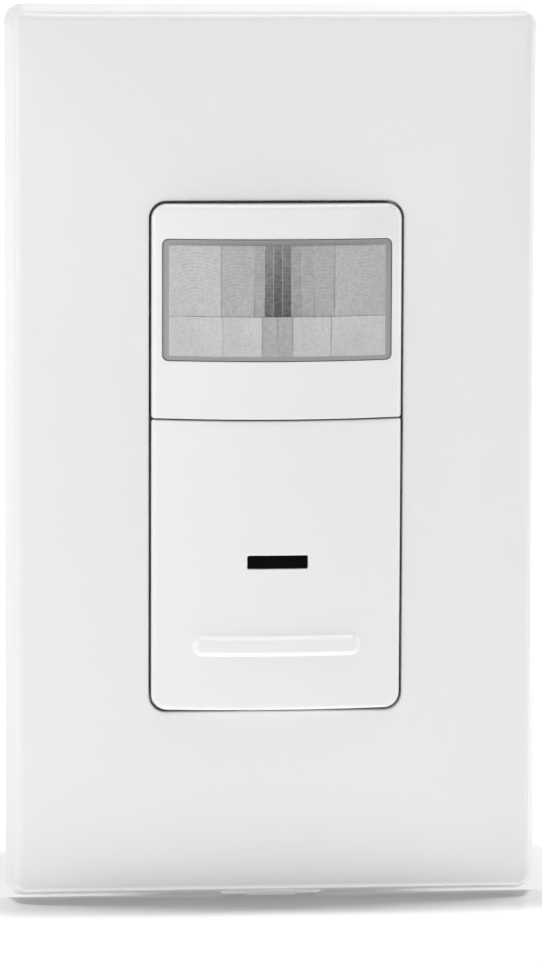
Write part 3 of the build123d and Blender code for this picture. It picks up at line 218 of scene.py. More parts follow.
def outline(half_width, low, high, corner_low, corner_high, sides=64, corners=14):
    """A rounded rectangle in x and z as one closed loop, an array of points by two.

    Each corner is a quarter circle about its own centre, and each side runs evenly from the end of one
    corner to the start of the next.
    """
    # Each corner's centre and radius, and the half turns at which its quarter circle starts
    spots = [
        (half_width - corner_low, low + corner_low, corner_low, -0.5),
        (half_width - corner_high, high - corner_high, corner_high, 0.0),
        (corner_high - half_width, high - corner_high, corner_high, 0.5),
        (corner_low - half_width, low + corner_low, corner_low, 1.0),
    ]
    arcs = []
    for x, z, radius, start in spots:
        turn = (start + np.linspace(0, 0.5, corners)) * math.pi
        arcs.append(np.stack([x + radius * np.cos(turn), z + radius * np.sin(turn)], axis=1))
    loop = []
    for arc, following in zip(arcs, arcs[1:] + arcs[:1]):
        along = np.linspace(0, 1, sides + 2)[1:-1, None]
        loop += [arc, arc[-1] + along * (following[0] - arc[-1])]
    return np.concatenate(loop)


def opening_outline(width, height, z, corner, sides=64):
    """The function that gives the outline of a rounded opening for an inset."""

    def at_inset(inset):
        low, high = z - height / 2 + inset, z + height / 2 - inset
        return outline(width / 2 - inset, low, high, corner - inset, corner - inset, sides)

    return at_inset


def at_height(loop, height):
    """Lifts a loop of x and z to a height in front of the wall, which may differ along it."""
    return np.stack([loop[:, 0], np.broadcast_to(-np.asarray(height), len(loop)), loop[:, 1]], axis=1)


def between(first, last, count):
    """Rows that go evenly from one loop to another, without the two themselves."""
    steps = np.linspace(0, 1, count + 2)[1:-1]
    return [first + step * (last - first) for step in steps]


def grid_faces(rows, columns, closed_rows):
    """Four-sided faces of a grid that is closed round its columns and, if asked, round its rows."""
    row = np.arange(rows if closed_rows else rows - 1)[:, None]
    column = np.arange(columns)[None, :]
    after_row, after_column = (row + 1) % rows, (column + 1) % columns
    corners = [
        row * columns + column,
        row * columns + after_column,
        after_row * columns + after_column,
        after_row * columns + column,
    ]
    return np.stack([np.broadcast_to(c, (len(row), columns)) for c in corners], axis=2).reshape(-1, 4)


def outward(points, faces):
    """The faces, turned round if they enclose a negative volume: a sum of triple products."""
    a, b, c, d = (points[faces[:, i]] for i in range(4))
    volume = sum(np.einsum("ij,ij->i", a, np.cross(*rest)).sum() for rest in ((b, c), (c, d)))
    return faces if volume > 0 else faces[:, ::-1]


def piece(name, points, faces, body, slot, replaced=(), attributes=None, crease=35, material=None):
    """Makes a mesh object from arrays, in place, and ties it to its body, slot, finish and nodes."""
    mesh = bpy.data.meshes.new(name)
    mesh.from_pydata(points.tolist(), [], outward(points, faces).tolist())
    for label, values in (attributes or {}).items():
        flat = values.ndim == 1
        layer = mesh.attributes.new(label, "FLOAT" if flat else "FLOAT_VECTOR", "POINT")
        layer.data.foreach_set("value" if flat else "vector", values.astype(np.float32).ravel())
    mesh.shade_smooth()
    mesh.set_sharp_from_angle(angle=math.radians(crease))
    mesh.materials.append(material or finish(slot))
    made = bpy.data.objects.new(name, mesh)
    bpy.context.scene.collection.objects.link(made)
    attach(made, body)
    if replaced:
        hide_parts(*replaced)


def shell(name, rows, **ties):
    """A piece whose rows of loops close on themselves, so that its skin has an outer and an inner side."""
    points = np.stack(rows)
    faces = grid_faces(points.shape[0], points.shape[1], True)
    piece(name, points.reshape(-1, 3), faces, **ties)


def plate_height(sizes, x, z):
    """Height of the wall plate's face at x and z.

    The share of the way in is one less the sixth-power mean of how far x and z lie outside the opening,
    and the face rises with that share plus a crown that is largest half way.
    """
    half_x, half_z = sizes.opening_width / 2, sizes.opening_height / 2
    rim_x = PLATE_HIGH.x - sizes.draft
    rim_z = PLATE_HIGH.z - sizes.draft
    out_x = np.clip((np.abs(x) - half_x) / (rim_x - half_x), 0, None)
    out_z = np.clip((np.abs(z) - half_z) / (rim_z - half_z), 0, None)
    power = 6
    inward = 1 - (out_x**power + out_z**power) ** (1 / power)
    face_height = -PLATE_LOW.y
    rise = inward + sizes.crown * inward * (1 - inward)
    return sizes.shoulder_height + (face_height - sizes.shoulder_height) * rise


def front_height(x, side, apex):
    """Height of a convex front: its apex less a drop that grows with the square of x."""
    half = BEZEL_HIGH.x
    return apex - (apex - side) * (x / half) ** 2


def bezel_height(sizes, x, z):
    """Height of the bezel's front: level up to the window's middle, then falling with the square of z."""
    back = (np.clip(z - sizes.window_z, 0, None) / (BEZEL_HIGH.z - sizes.window_z)) ** 2
    side = sizes.side_height - back * (sizes.side_height - sizes.bezel_top_side)
    apex = sizes.bezel_apex - back * (sizes.bezel_apex - sizes.bezel_top_apex)
    return front_height(x, side, apex)


def pad_height(sizes, x, z):
    """Height of the pad's front: falling with the square of the way down from the seam."""
    down = (np.clip(PAD_HIGH.z - z, 0, None) / (PAD_HIGH.z - PAD_LOW.z)) ** 2
    side = sizes.side_height - down * (sizes.side_height - sizes.pad_low_side)
    apex = sizes.pad_apex - down * (sizes.pad_apex - sizes.pad_low_apex)
    return front_height(x, side, apex)


def rounded_rows(edge_loop, radius, law, steps=6):
    """Rows of a quarter round from an upright side on to a front whose height is given by a law.

    A step that lies an angle round the quarter goes in by the radius less its cosine, and down by the
    radius less its sine. edge_loop makes the outline for an inset.
    """
    rows = []
    for turn in np.linspace(0, math.pi / 2, steps):
        loop = edge_loop(radius * (1 - math.cos(turn)))
        rows.append(at_height(loop, law(loop[:, 0], loop[:, 1]) - radius * (1 - math.sin(turn))))
    return rows


def lip_rows(hole, radius, law, steps):
    """Rows of a quarter round from a front into a hole: first in and then down, unlike an outer edge's."""
    rows = []
    for turn in np.linspace(0, math.pi / 2, steps):
        loop = hole(-radius * (1 - math.sin(turn)))
        rows.append(at_height(loop, law(loop[:, 0], loop[:, 1]) - radius * (1 - math.cos(turn))))
    return rows


def build_plate():
    """The wall plate as one skin: out up the side, in over the face, down the opening and back inside."""
    sizes = settings()[0]
    half_x, half_z = PLATE_HIGH.x, PLATE_HIGH.z
    tab_proud = -PLATE_LOW.z - half_z
    lower_side = 2 * sizes.side_wall - half_z
    back_round = 0.00015
    side_points, side_rows, shoulder_rows, face_rows, lip_steps, inner_rows = 120, 4, 8, 40, 6, 12
    opening = opening_outline(
        sizes.opening_width, sizes.opening_height, 0, sizes.opening_corner, side_points
    )

    def ring(inset, corner):
        return outline(half_x - inset, inset - half_z, half_z - inset, corner, corner, side_points)

    def law(x, z):
        return plate_height(sizes, x, z)

    def face(loop):
        return law(loop[:, 0], loop[:, 1])

    def side_ring(height):
        up = height / sizes.shoulder_height
        corner = sizes.foot_corner + up * (sizes.shoulder_corner - sizes.foot_corner)
        return ring(up * sizes.draft, corner)

    def foot(loop):
        at_notch = (np.abs(loop[:, 0]) < sizes.notch_half) & (loop[:, 1] < lower_side)
        return np.where(at_notch, sizes.notch_depth, 0)

    def tab(loop):
        at_tab = (np.abs(loop[:, 0]) < sizes.tab_half) & (loop[:, 1] < lower_side)
        return loop - np.stack([np.zeros(len(loop)), np.where(at_tab, tab_proud, 0)], axis=1)

    # The rear edge with the pry tab and the notch behind it, and the side up to the shoulder
    base, low = ring(back_round, sizes.foot_corner), side_ring(back_round)
    tab_edge = sizes.tab_depth - back_round
    rows = [
        at_height(tab(base), foot(base)),
        at_height(tab(low), np.maximum(foot(low) + back_round / 2, back_round)),
        at_height(tab(side_ring(tab_edge)), tab_edge),
        at_height(side_ring(sizes.tab_depth), sizes.tab_depth),
    ]
    start = sizes.shoulder_height - sizes.shoulder_round
    for height in np.linspace(sizes.tab_depth, start, side_rows + 1)[1:]:
        rows.append(at_height(side_ring(height), height))
    # The shoulder is a parabola between the side and the face, tangent to both
    shoulder = ring(sizes.draft, sizes.shoulder_corner)
    first, corner_point = rows[-1], at_height(shoulder, face(shoulder))
    inner = ring(sizes.draft + sizes.shoulder_round, sizes.shoulder_corner)
    last = at_height(inner, face(inner))
    for t in np.linspace(0, 1, shoulder_rows + 1)[1:]:
        rows.append((1 - t) ** 2 * first + 2 * t * (1 - t) * corner_point + t**2 * last)
    # The face, in even steps to the opening's rounded lip
    for loop in between(inner, opening(-sizes.opening_lip), face_rows):
        rows.append(at_height(loop, face(loop)))
    rows += lip_rows(opening, sizes.opening_lip, law, lip_steps)
    # The collar round the opening, the inner side of the face, and the wall's inner side down to the rear
    rows.append(at_height(opening(0), sizes.collar_back))
    collar = opening(-sizes.collar_wall)
    rows.append(at_height(collar, sizes.collar_back))
    rows.append(at_height(collar, face(collar) - sizes.face_wall))
    inside = ring(sizes.draft + sizes.side_wall, sizes.shoulder_corner)
    for loop in between(collar, inside, inner_rows):
        rows.append(at_height(loop, face(loop) - sizes.face_wall))
    rows.append(at_height(inside, face(inside) - sizes.face_wall))
    rear = ring(sizes.side_wall, sizes.shoulder_corner)
    rows.append(at_height(rear, foot(rear)))
    shell("wall_plate", rows, body="cover", slot="cover_plastic", replaced=["wallplate_cover"])


def front_shell(name, low, high, corners, tight, back, law, hole, lip, **ties):
    """A hollow front with a hole: side, rounded edge, convex face, the hole's lip and the inner side.

    low and high are the places of its two ends. corners and tight hold the lower end's value and then the
    upper end's, and tight is the share of the edge rounding by which an end draws in. back gives the height
    of the rear edge at a z, law that of the face at x and z, and hole the hole's outline for an inset.
    """
    sizes = settings()[1]
    half = BEZEL_HIGH.x
    least_corner, face_rows, lip_steps, inner_rows = 0.0001, 44, 5, 12

    def edge(inset):
        low_corner, high_corner = (max(corner - inset, least_corner) for corner in corners)
        return outline(
            half - inset, low + tight[0] * inset, high - tight[1] * inset, low_corner, high_corner
        )

    def face(loop):
        return law(loop[:, 0], loop[:, 1])

    outer, inner = edge(0), edge(sizes.wall)
    rows = [at_height(outer, back(outer[:, 1]))]
    rows += rounded_rows(edge, sizes.edge_round, law)
    for loop in between(edge(sizes.edge_round), hole(-lip), face_rows):
        rows.append(at_height(loop, face(loop)))
    rows += lip_rows(hole, lip, law, lip_steps)
    rows.append(at_height(hole(0), face(hole(0)) - sizes.wall))
    for loop in between(hole(0), inner, inner_rows):
        rows.append(at_height(loop, face(loop) - sizes.wall))
    rows.append(at_height(inner, face(inner) - sizes.wall))
    rows.append(at_height(inner, back(inner[:, 1])))
    shell(name, rows, **ties)


def build_bezel():
    """The bezel round the lens window."""
    sizes = settings()[1]
    window = opening_outline(sizes.window_width, sizes.window_height, sizes.window_z, sizes.window_corner)
    front_shell(
        "sensor_bezel", BEZEL_LOW.z - sizes.seam_reach, BEZEL_HIGH.z, (sizes.seam_corner, sizes.corner),
        (sizes.seam_tight, 1), lambda z: -BEZEL_HIGH.y, lambda x, z: bezel_height(sizes, x, z), window,
        sizes.window_lip, body="switch_body", slot="device_plastic", replaced=["lens_bezel"],
    )


def build_pad():
    """The push pad with its slot."""
    sizes = settings()[1]
    slot = opening_outline(sizes.slot_width, sizes.slot_height, sizes.slot_z, sizes.slot_corner)
    slot_lip = 0.0002

    # The wall beside the seam stops short of the bearings behind it
    def skirt(z):
        return np.where(z > PAD_HIGH.z - 2 * sizes.wall, sizes.pad_top_skirt, sizes.pad_skirt)

    front_shell(
        "push_pad_front", PAD_LOW.z, PAD_HIGH.z + sizes.seam_reach, (sizes.corner, sizes.seam_corner),
        (1, sizes.seam_tight), skirt, lambda x, z: pad_height(sizes, x, z), slot, slot_lip,
        body="pad", slot="device_plastic", replaced=["push_pad"],
    )


def build_bar():
    """The raised bar on the pad: shrinking stadium outlines, up its bevel and over its flat top.

    The shares say how far in and how far up an outline lies, in widths of the bevel and in the bar's rise.
    """
    sizes = settings()[1]
    half_x, half_z = sizes.bar_width / 2, sizes.bar_height / 2
    bevel, rise, sunk = sizes.bar_bevel, sizes.bar_rise, 0.0004
    steps = dict(sides=40, corners=20)
    bevel_end, top_rows = 1.15, 4
    bevel_shares = [(0.04, 0.06), (0.9, 0.9), (1, 0.97), (bevel_end, 1)]
    top_shares = [(inward, 1) for inward in np.linspace(bevel_end, half_z / bevel, top_rows + 2)[1:-1]]
    profile = [(0, -sunk), (0, 0)]
    profile += [(inward * bevel, up * rise) for inward, up in bevel_shares + top_shares]
    rows = []
    for inset, height in profile:
        reach = half_z - inset
        corner = ROUND_SHARE * reach
        loop = outline(half_x - inset, sizes.bar_z - reach, sizes.bar_z + reach, corner, corner, **steps)
        rows.append(at_height(loop, pad_height(sizes, loop[:, 0], loop[:, 1]) + height))
    capped("pad_bar", rows, body="pad", slot="device_plastic", **steps)


def build_pad_inside():
    """What the pad carries inside: the rib on the plunger, the spring seats, and ears with their trunnions.

    Rib, seats and ears are outlines carried forward into the pad's wall, and a trunnion is one carried
    sideways. A foot is the height of a post's rear end.
    """
    sizes = settings()[1]
    steps = dict(sides=2, corners=8)
    ties = dict(body="pad", slot="device_plastic", **steps)
    rib_r, rib_z, rib_foot = 0.0016, -0.0081, 0.0057
    seat_r, seat_x, seat_z, seat_foot = 0.0019, 0.005, -0.0282, 0.0065
    ear_x, ear_z, ear_foot = 0.01205, 0.0036, 0.0032
    ear_half_x, ear_half_z, ear_corner = 0.00075, 0.001, 0.00015
    trunnion_r, trunnion_places = 0.00075, (0.0115, 0.010, 0.009)

    def post(name, x, z, half_x, half_z, corner, foot):
        loop = outline(half_x, z - half_z, z + half_z, corner, corner, **steps)
        loop[:, 0] += x
        top = pad_height(sizes, loop[:, 0], loop[:, 1]) - sizes.wall / 2
        capped(name, [at_height(loop, height) for height in (foot, (foot + top) / 2, top)], **ties)

    def round_post(name, x, z, radius, foot):
        post(name, x, z, radius, radius, ROUND_SHARE * radius, foot)

    round_post("pad_rib", 0, rib_z, rib_r, rib_foot)
    corner = ROUND_SHARE * trunnion_r
    ring = outline(trunnion_r, -trunnion_r, trunnion_r, corner, corner, **steps)
    for side, name in ((-1, "left"), (1, "right")):
        round_post(f"pad_spring_seat_{name}", side * seat_x, seat_z, seat_r, seat_foot)
        post(f"pad_ear_{name}", side * ear_x, ear_z, ear_half_x, ear_half_z, ear_corner, ear_foot)
        rows = []
        for x in trunnion_places:
            across = np.full(len(ring), side * x)
            rows.append(np.stack([across, -HINGE_HEIGHT - ring[:, 0], HINGE_Z + ring[:, 1]], axis=1))
        capped(f"pad_trunnion_{name}", rows, **ties)


def soften_springs():
    """Gives the return springs a mesh of their own."""
    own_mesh(frame["nodes"]["return_springs"])


def capped(name, rows, sides, corners, **ties):
    """A piece of stacked outlines whose first and last loops are closed by a strip across them.

    An outline mirrors itself about its middle height, so each point pairs with the one mirrored from it,
    counted from the middle of the right side, and each pair and the next make a face.
    """
    points = np.stack(rows)
    count = points.shape[1]
    start = corners + sides // 2
    near = start + np.arange(count // 2 - 1)[:, None]
    far = 2 * start - 1 - near
    cap = np.concatenate([near, near + 1, far - 1, far], axis=1) % count
    faces = [grid_faces(len(rows), count, False), cap[:, ::-1], cap + (len(rows) - 1) * count]
    piece(name, points.reshape(-1, 3), np.concatenate(faces), **ties)


def bars(name, runs, **ties):
    """A piece of bars, each a row of four-sided sections along its length, closed at its ends."""
    points, faces = [], []
    for run in runs:
        last = 4 * (len(run) - 1)
        ends = np.array([[3, 2, 1, 0], [last, last + 1, last + 2, last + 3]])
        skin = np.concatenate([grid_faces(len(run), 4, False), ends])
        faces.append(outward(run.reshape(-1, 3), skin) + sum(len(p) for p in points))
        points.append(run.reshape(-1, 3))
    piece(name, np.concatenate(points), np.concatenate(faces), **ties)


def build_clips():
    """Four lugs inside the wall plate's sides: a section that tapers to its tip, carried up the side.

    The shares place a lug's sections along its length, and their tips on the way from wall to tip.
    """
    length, spacing = 0.006, 0.076
    wall_x, tip_x = 0.0339, 0.03197
    low, high, taper = 0.0016, 0.0026, 0.0002
    length_shares, tip_shares = np.array([-0.5, -0.42, 0.42, 0.5]), np.array([0.7, 1, 1, 0.7])
    wall = np.full_like(tip_shares, wall_x)
    tip = wall_x + (tip_x - wall_x) * tip_shares
    runs = []
    for side in (-1, 1):
        for middle in (-spacing / 2, spacing / 2):
            along = length_shares * length + middle
            corners = ((wall, low), (tip, low + taper), (tip, high - taper), (wall, high))
            section = [
                np.stack([side * x, np.full_like(along, -height), along], axis=1) for x, height in corners
            ]
            runs.append(np.stack(section, axis=1))
    bars("plate_clips", runs, body="cover", slot="cover_plastic")


def build_threads():
    """Thread ridges of the two long screws: a flat-topped section carried along a helix.

    The helix turns once per pitch, and the section sinks into the shank at both ends. The shares are half
    the widths of a ridge's foot and crest, as shares of the pitch.
    """
    pitch, root, crest, sunk = 0.000794, 0.00170, 0.00186, 0.0001
    first, last = 0.0012, 0.0242
    foot_share, crest_share, turn_points = 0.42, 0.08, 24
    spread = SCREW_HIGH.z - (SCREW_HIGH.x - SCREW_LOW.x) / 2
    turns = (last - first) / pitch
    turn = np.linspace(0, 2 * math.pi * turns, int(turn_points * turns))
    sink = np.clip(np.minimum(turn, turn[-1] - turn) / math.pi, 0, 1)
    foot, top = np.full(len(turn), root - sunk), root + sink * (crest - root)
    corners = ((foot, -foot_share), (top, -crest_share), (top, crest_share), (foot, foot_share))
    runs = []
    for middle in (-spread, spread):
        section = []
        for reach, pitch_share in corners:
            depth = first + turn / (2 * math.pi) * pitch + pitch_share * pitch
            section.append(np.stack([reach * np.cos(turn), depth, middle + reach * np.sin(turn)], axis=1))
        runs.append(np.stack(section, axis=1))
    bars("screw_threads", runs, body="switch_body", slot="zinc_steel")


def lens_height(x):
    """Height of the lens's front: its apex less the same drop as the bezel's."""
    sizes = settings()[1]
    return front_height(x, -LENS_LOW.y - (sizes.bezel_apex - sizes.side_height), -LENS_LOW.y)


def facet_shade(lens, x, z, centre_x, on_rib):
    """How much painted shade each point of the facets takes: the darkness of the shroud and housing behind
    the lens, painted into the lens's colour.

    A deep shade and a broad one fall off, facet by facet, with the fourth power of the distance from the
    middle. In the upper row the deep one grows towards the row's foot, and a side shade grows to the right.
    The lower row has a deep shade and an even one, and the ribs take only a share of it all.
    """
    deep, deeper, bend, lower_deep = 0.36, 0.29, 0.8, 0.29
    even, side_depth, broad_depth, broad_reach, lower_even = 0.085, 0.18, 0.18, 3.6, 0.036
    rib_share = 0.45
    upper = z > lens.field_split
    down = np.clip((lens.field_high - z) / (lens.field_high - lens.field_split), 0, 1)
    depth = np.where(upper, deep + deeper * down**bend, lower_deep)
    width = np.where(upper, lens.shade_upper, lens.shade_lower)
    side = np.clip((1 + x / lens.field_half) / 2, 0, 1)
    broad = np.exp(-((centre_x / (broad_reach * width)) ** 4))
    shade = depth * np.exp(-((np.abs(centre_x) / width) ** 4))
    shade += np.where(upper, even + side_depth * side + broad_depth * broad, lower_even)
    return np.where(on_rib, shade * rib_share, shade)


def build_facets():
    """The facet field of the lens: a thin sheet on the lens's curve, standing out of its plain band.

    Each facet's rings lie round a centre of its own, kept in an attribute beside the facet's painted shade.
    """
    lens = settings()[2]
    rib, half = lens.rib_half, lens.field_half
    columns, rows = 150, 80
    rim_share = 0.4

    def lines(first, last, count, borders):
        near = np.concatenate([borders - rib, borders, borders + rib])
        even = np.linspace(first, last, count)
        away = np.abs(even[:, None] - borders[None, :]).min(axis=1) > 2 * rib
        return np.unique(np.concatenate([even[away], near]))

    x_lines = lines(-half, half, columns, np.concatenate([UPPER_BORDERS, LOWER_BORDERS]))
    z_lines = lines(lens.field_low, lens.field_high, rows, np.array([lens.field_split]))
    z, x = np.meshgrid(z_lines, x_lines, indexing="ij")
    upper = z > lens.field_split
    centre_x, centre_z = np.zeros_like(x), np.zeros_like(x)
    on_rib = np.abs(z - lens.field_split) < rib / 2
    facet_rows = (
        (upper, UPPER_BORDERS, lens.field_split, lens.field_high, UPPER_CENTRE_SHARE),
        (~upper, LOWER_BORDERS, lens.field_low, lens.field_split, LOWER_CENTRE_SHARE),
    )
    for where, borders, low, high, place in facet_rows:
        ends = np.concatenate([[-half], borders, [half]])
        cell = np.clip(np.searchsorted(ends, x, side="right") - 1, 0, len(borders))
        centre_x = np.where(where, (ends[cell] + ends[cell + 1]) / 2, centre_x)
        centre_z = np.where(where, low + place * (high - low), centre_z)
        on_rib |= where & (np.abs(x[..., None] - borders).min(axis=-1) < rib / 2)
    # Painted shade of the dark inside seen through the lens, kept for each point
    shade = facet_shade(lens, x, z, centre_x, on_rib)
    # The sheet starts at a share of its rise at its rim, and the ribs stand out of it
    edge = np.minimum(half - np.abs(x), np.minimum(z - lens.field_low, lens.field_high - z))
    rise = lens.field_rise * np.clip(rim_share + edge / rib, 0, 1) + np.where(on_rib, lens.rib_rise, 0)
    front = np.stack([x, -(lens_height(x) + rise), z], axis=2).reshape(-1, 3)
    back = front.copy()
    back[:, 1] = -(lens_height(front[:, 0]) - lens.field_rise)
    # Front skin, rear skin and the strip that joins their rims
    index = np.arange(x.size).reshape(x.shape)
    corners = [index[:-1, :-1], index[:-1, 1:], index[1:, 1:], index[1:, :-1]]
    skin = np.stack(corners, axis=2).reshape(-1, 4)
    rim = np.concatenate([index[0, :-1], index[:-1, -1], index[-1, :0:-1], index[:0:-1, 0]])
    after = np.roll(rim, -1)
    strip = np.stack([after, rim, rim + x.size, after + x.size], axis=1)
    centre = np.stack([centre_x.ravel(), front[:, 1], centre_z.ravel()], axis=1)
    attributes = {
        "facet_centre": np.concatenate([centre, centre]),
        "facet_shade": np.tile(shade.ravel(), 2),
    }
    piece(
        "lens_facets", np.concatenate([front, back]),
        np.concatenate([skin, skin[:, ::-1] + x.size, strip]),
        body="switch_body", slot="lens_plastic", attributes=attributes, material=facet_finish(), crease=50,
    )


def add_node(material, kind, inputs=None, **options):
    """Adds a node, sets its options, and gives each named input a value or a link from a socket."""
    node = material.node_tree.nodes.new(kind)
    for option, value in options.items():
        setattr(node, option, value)
    for name, value in (inputs or {}).items():
        if isinstance(value, bpy.types.NodeSocket):
            material.node_tree.links.new(value, node.inputs[name])
        else:
            node.inputs[name].default_value = value
    return node


def maths(material, operation, *values, **options):
    """The result of a maths node whose inputs hold the values or sockets, in order."""
    inputs = dict(enumerate(values))
    return add_node(material, "ShaderNodeMath", inputs, operation=operation, **options).outputs[0]


def mixed(material, share_of_second, first, second):
    """The result of a mix of two colours."""
    inputs = {"Factor": share_of_second, MIX_FIRST: (*first, 1), MIX_SECOND: (*second, 1)}
    return add_node(material, "ShaderNodeMix", inputs, data_type="RGBA").outputs[MIX_RESULT]


def surface(name, colour, roughness, grain, tone=0.0, dull=0.0, relief=0.0, stretch=(1, 1, 1), also=None):
    """A material whose noise of one grain size changes tone, gloss and relief.

    tone is how much darker the pattern's low spots are, dull how much rougher its high spots are, and relief
    its depth. Grain and relief are in millimetres, and the pattern is drawn out along an axis whose stretch
    is less than one. also holds further values of the shader's sockets.
    """
    made = bpy.data.materials.new(name)
    made.use_nodes = True
    shader = made.node_tree.nodes["Principled BSDF"]
    for socket, value in {"Roughness": roughness, **(also or {})}.items():
        shader.inputs[socket].default_value = value
    shader.inputs["Base Color"].default_value = (*colour, 1)
    place = add_node(made, "ShaderNodeTexCoord").outputs["Object"]
    drawn = add_node(made, "ShaderNodeMapping", {"Vector": place, "Scale": stretch}).outputs["Vector"]
    noise = {"Vector": drawn, "Scale": 1 / (grain * MM), "Detail": 3.0, "Roughness": 0.55}
    pattern = add_node(made, "ShaderNodeTexNoise", noise).outputs["Fac"]
    link = made.node_tree.links.new
    if tone:
        darker = tuple(c * (1 - tone) for c in colour)
        link(mixed(made, pattern, darker, colour), shader.inputs["Base Color"])
    if dull:
        low_spot, high_spot = 0.35, 0.65
        spread = {"Value": pattern, "From Min": low_spot, "From Max": high_spot,
                  "To Min": roughness, "To Max": roughness + dull}
        link(add_node(made, "ShaderNodeMapRange", spread).outputs["Result"], shader.inputs["Roughness"])
    if relief:
        bump = {"Height": pattern, "Distance": relief * MM, "Strength": 1.0}
        link(add_node(made, "ShaderNodeBump", bump).outputs["Normal"], shader.inputs["Normal"])
    return made


METAL = {"Metallic": 1.0}

# Each slot's material: its name, colour, roughness and grain, and what else its surface has. Where the
# colour is None, a user can change it.
FINISHES = {
    # ABS from a polished mould: clean gloss whose highlights wave a little
    "cover_plastic": ("Gloss ABS", None, 0.14, 3.0, dict(relief=0.0012, dull=0.04, also={"IOR": 1.53})),
    # Polycarbonate from a polished mould: a harder, clearer gloss than the plate's
    "device_plastic": ("Gloss polycarbonate", None, 0.11, 2.5,
                       dict(relief=0.0008, dull=0.03, also={"IOR": 1.585})),
    # Milky polyethylene, moulded thin: satin and slightly cloudy, in a grey colour that paints the band's
    # shade
    "lens_plastic": ("Milky polyethylene", None, 0.3, 1.2,
                     dict(tone=0.05, relief=0.002, dull=0.08, also={"IOR": 1.51})),
    # Smoked polycarbonate in its slot: deep black, with hardly any shine
    "tinted_window": ("Smoked polycarbonate", "#070708", 0.06, 2.0,
                      dict(relief=0.0006, dull=0.04, also={"Specular IOR Level": 0.03})),
    # White nylon from an etched mould: an even dull grain
    "frame_plastic": ("White nylon", "#e2e2df", 0.42, 0.35, dict(tone=0.03, relief=0.008, dull=0.12)),
    # Black nylon filled with glass fibre: dull, with short pale streaks of fibre along the flow
    "housing_plastic": ("Glass-filled nylon", None, 0.38, 0.4,
                        dict(tone=0.25, relief=0.012, dull=0.2, stretch=(1, 1, 0.3))),
    # Black moulding compound: a fine dull grain
    "black_plastic": ("Black moulding compound", "#19191a", 0.45, 0.25,
                      dict(tone=0.2, relief=0.006, dull=0.2)),
    # Sheet aluminium as rolled: fine bright lines along the strap
    "strap_aluminium": ("Rolled aluminium", "#c9cacc", 0.3, 0.12,
                        dict(tone=0.12, relief=0.002, dull=0.18, stretch=(1, 1, 0.02), also=METAL)),
    # Steel with bright zinc: pale, a little blotchy
    "zinc_steel": ("Zinc-plated steel", "#c4c6c8", 0.24, 0.8,
                   dict(tone=0.1, relief=0.003, dull=0.16, also=METAL)),
    # Steel screw dyed green over its zinc: metal shine through a green film
    "green_screw": ("Green dyed zinc steel", "#1f7a3c", 0.26, 0.7,
                    dict(tone=0.2, relief=0.003, dull=0.15, also={"Metallic": 0.85})),
    # Vulcanised fibre, punched: dry and mottled like hard card
    "fibre_washer": ("Vulcanised fibre", "#b8583f", 0.7, 0.3, dict(tone=0.2, relief=0.01, dull=0.15)),
    # Fired alumina: chalky off-white
    "sensor_ceramic": ("Fired ceramic", "#d9c9ab", 0.55, 0.3, dict(tone=0.08, relief=0.006, dull=0.15)),
    # Blue polyester of a trimmer's case
    "trimmer_plastic": ("Blue polyester", "#274b93", 0.4, 0.3, dict(tone=0.1, relief=0.004, dull=0.15)),
    # White acetal of the dials: waxy, with a soft sheen
    "dial_plastic": ("White acetal", "#ece9df", 0.34, 0.5, dict(tone=0.03, relief=0.004, dull=0.12)),
    # Glass-cloth board under green resist: glossy film over a faint weave
    "board_laminate": ("Glass-cloth laminate", "#1d5a33", 0.28, 0.45,
                       dict(tone=0.25, relief=0.006, dull=0.1, also={"Coat Weight": 0.3})),
    # Black polyester of the relay's case: even satin
    "relay_plastic": ("Black polyester case", "#232325", 0.34, 0.4, dict(tone=0.1, relief=0.003, dull=0.12)),
    # Cast epoxy of the film capacitor: mustard, glossy
    "film_resin": ("Cast epoxy", "#b08a20", 0.22, 1.5, dict(tone=0.08, relief=0.006, dull=0.1)),
    # Shrunk sleeve of the electrolytic capacitor: dark blue, glossy
    "sleeve_plastic": ("Shrunk sleeve", "#1b2348", 0.2, 1.0, dict(tone=0.08, relief=0.004, dull=0.12)),
    # Dipped coating of the varistor: blue, thick and slightly lumpy
    "varistor_resin": ("Dipped resin", "#2446a0", 0.3, 0.9, dict(tone=0.12, relief=0.02, dull=0.15)),
    # Pressed ferrite: dark grey and dry
    "choke_ferrite": ("Pressed ferrite", "#39393b", 0.6, 0.2, dict(tone=0.15, relief=0.006, dull=0.15)),
    # Brass strip as rolled: warm, with fine lines along it
    "brass_plate": ("Rolled brass", "#cda85c", 0.28, 0.15,
                    dict(tone=0.12, relief=0.002, dull=0.16, stretch=(1, 0.05, 1), also=METAL)),
    # Clear acrylic of the light guide and the lamp: glass-like, with a trace of waviness
    "clear_plastic": ("Clear acrylic", "#eef2f2", 0.05, 1.5,
                      dict(relief=0.0008, dull=0.03, also={"IOR": 1.49, "Transmission Weight": 1.0})),
}


def finish(slot):
    """The material of a slot, made once; the colours that a user can change come from the scene."""
    name, colour, roughness, grain, rest = FINISHES[slot]
    chosen = linear(colour) if colour else tuple(getattr(bpy.context.scene.finish_colours, slot))
    return bpy.data.materials.get(name) or surface(name, chosen, roughness, grain, **rest)


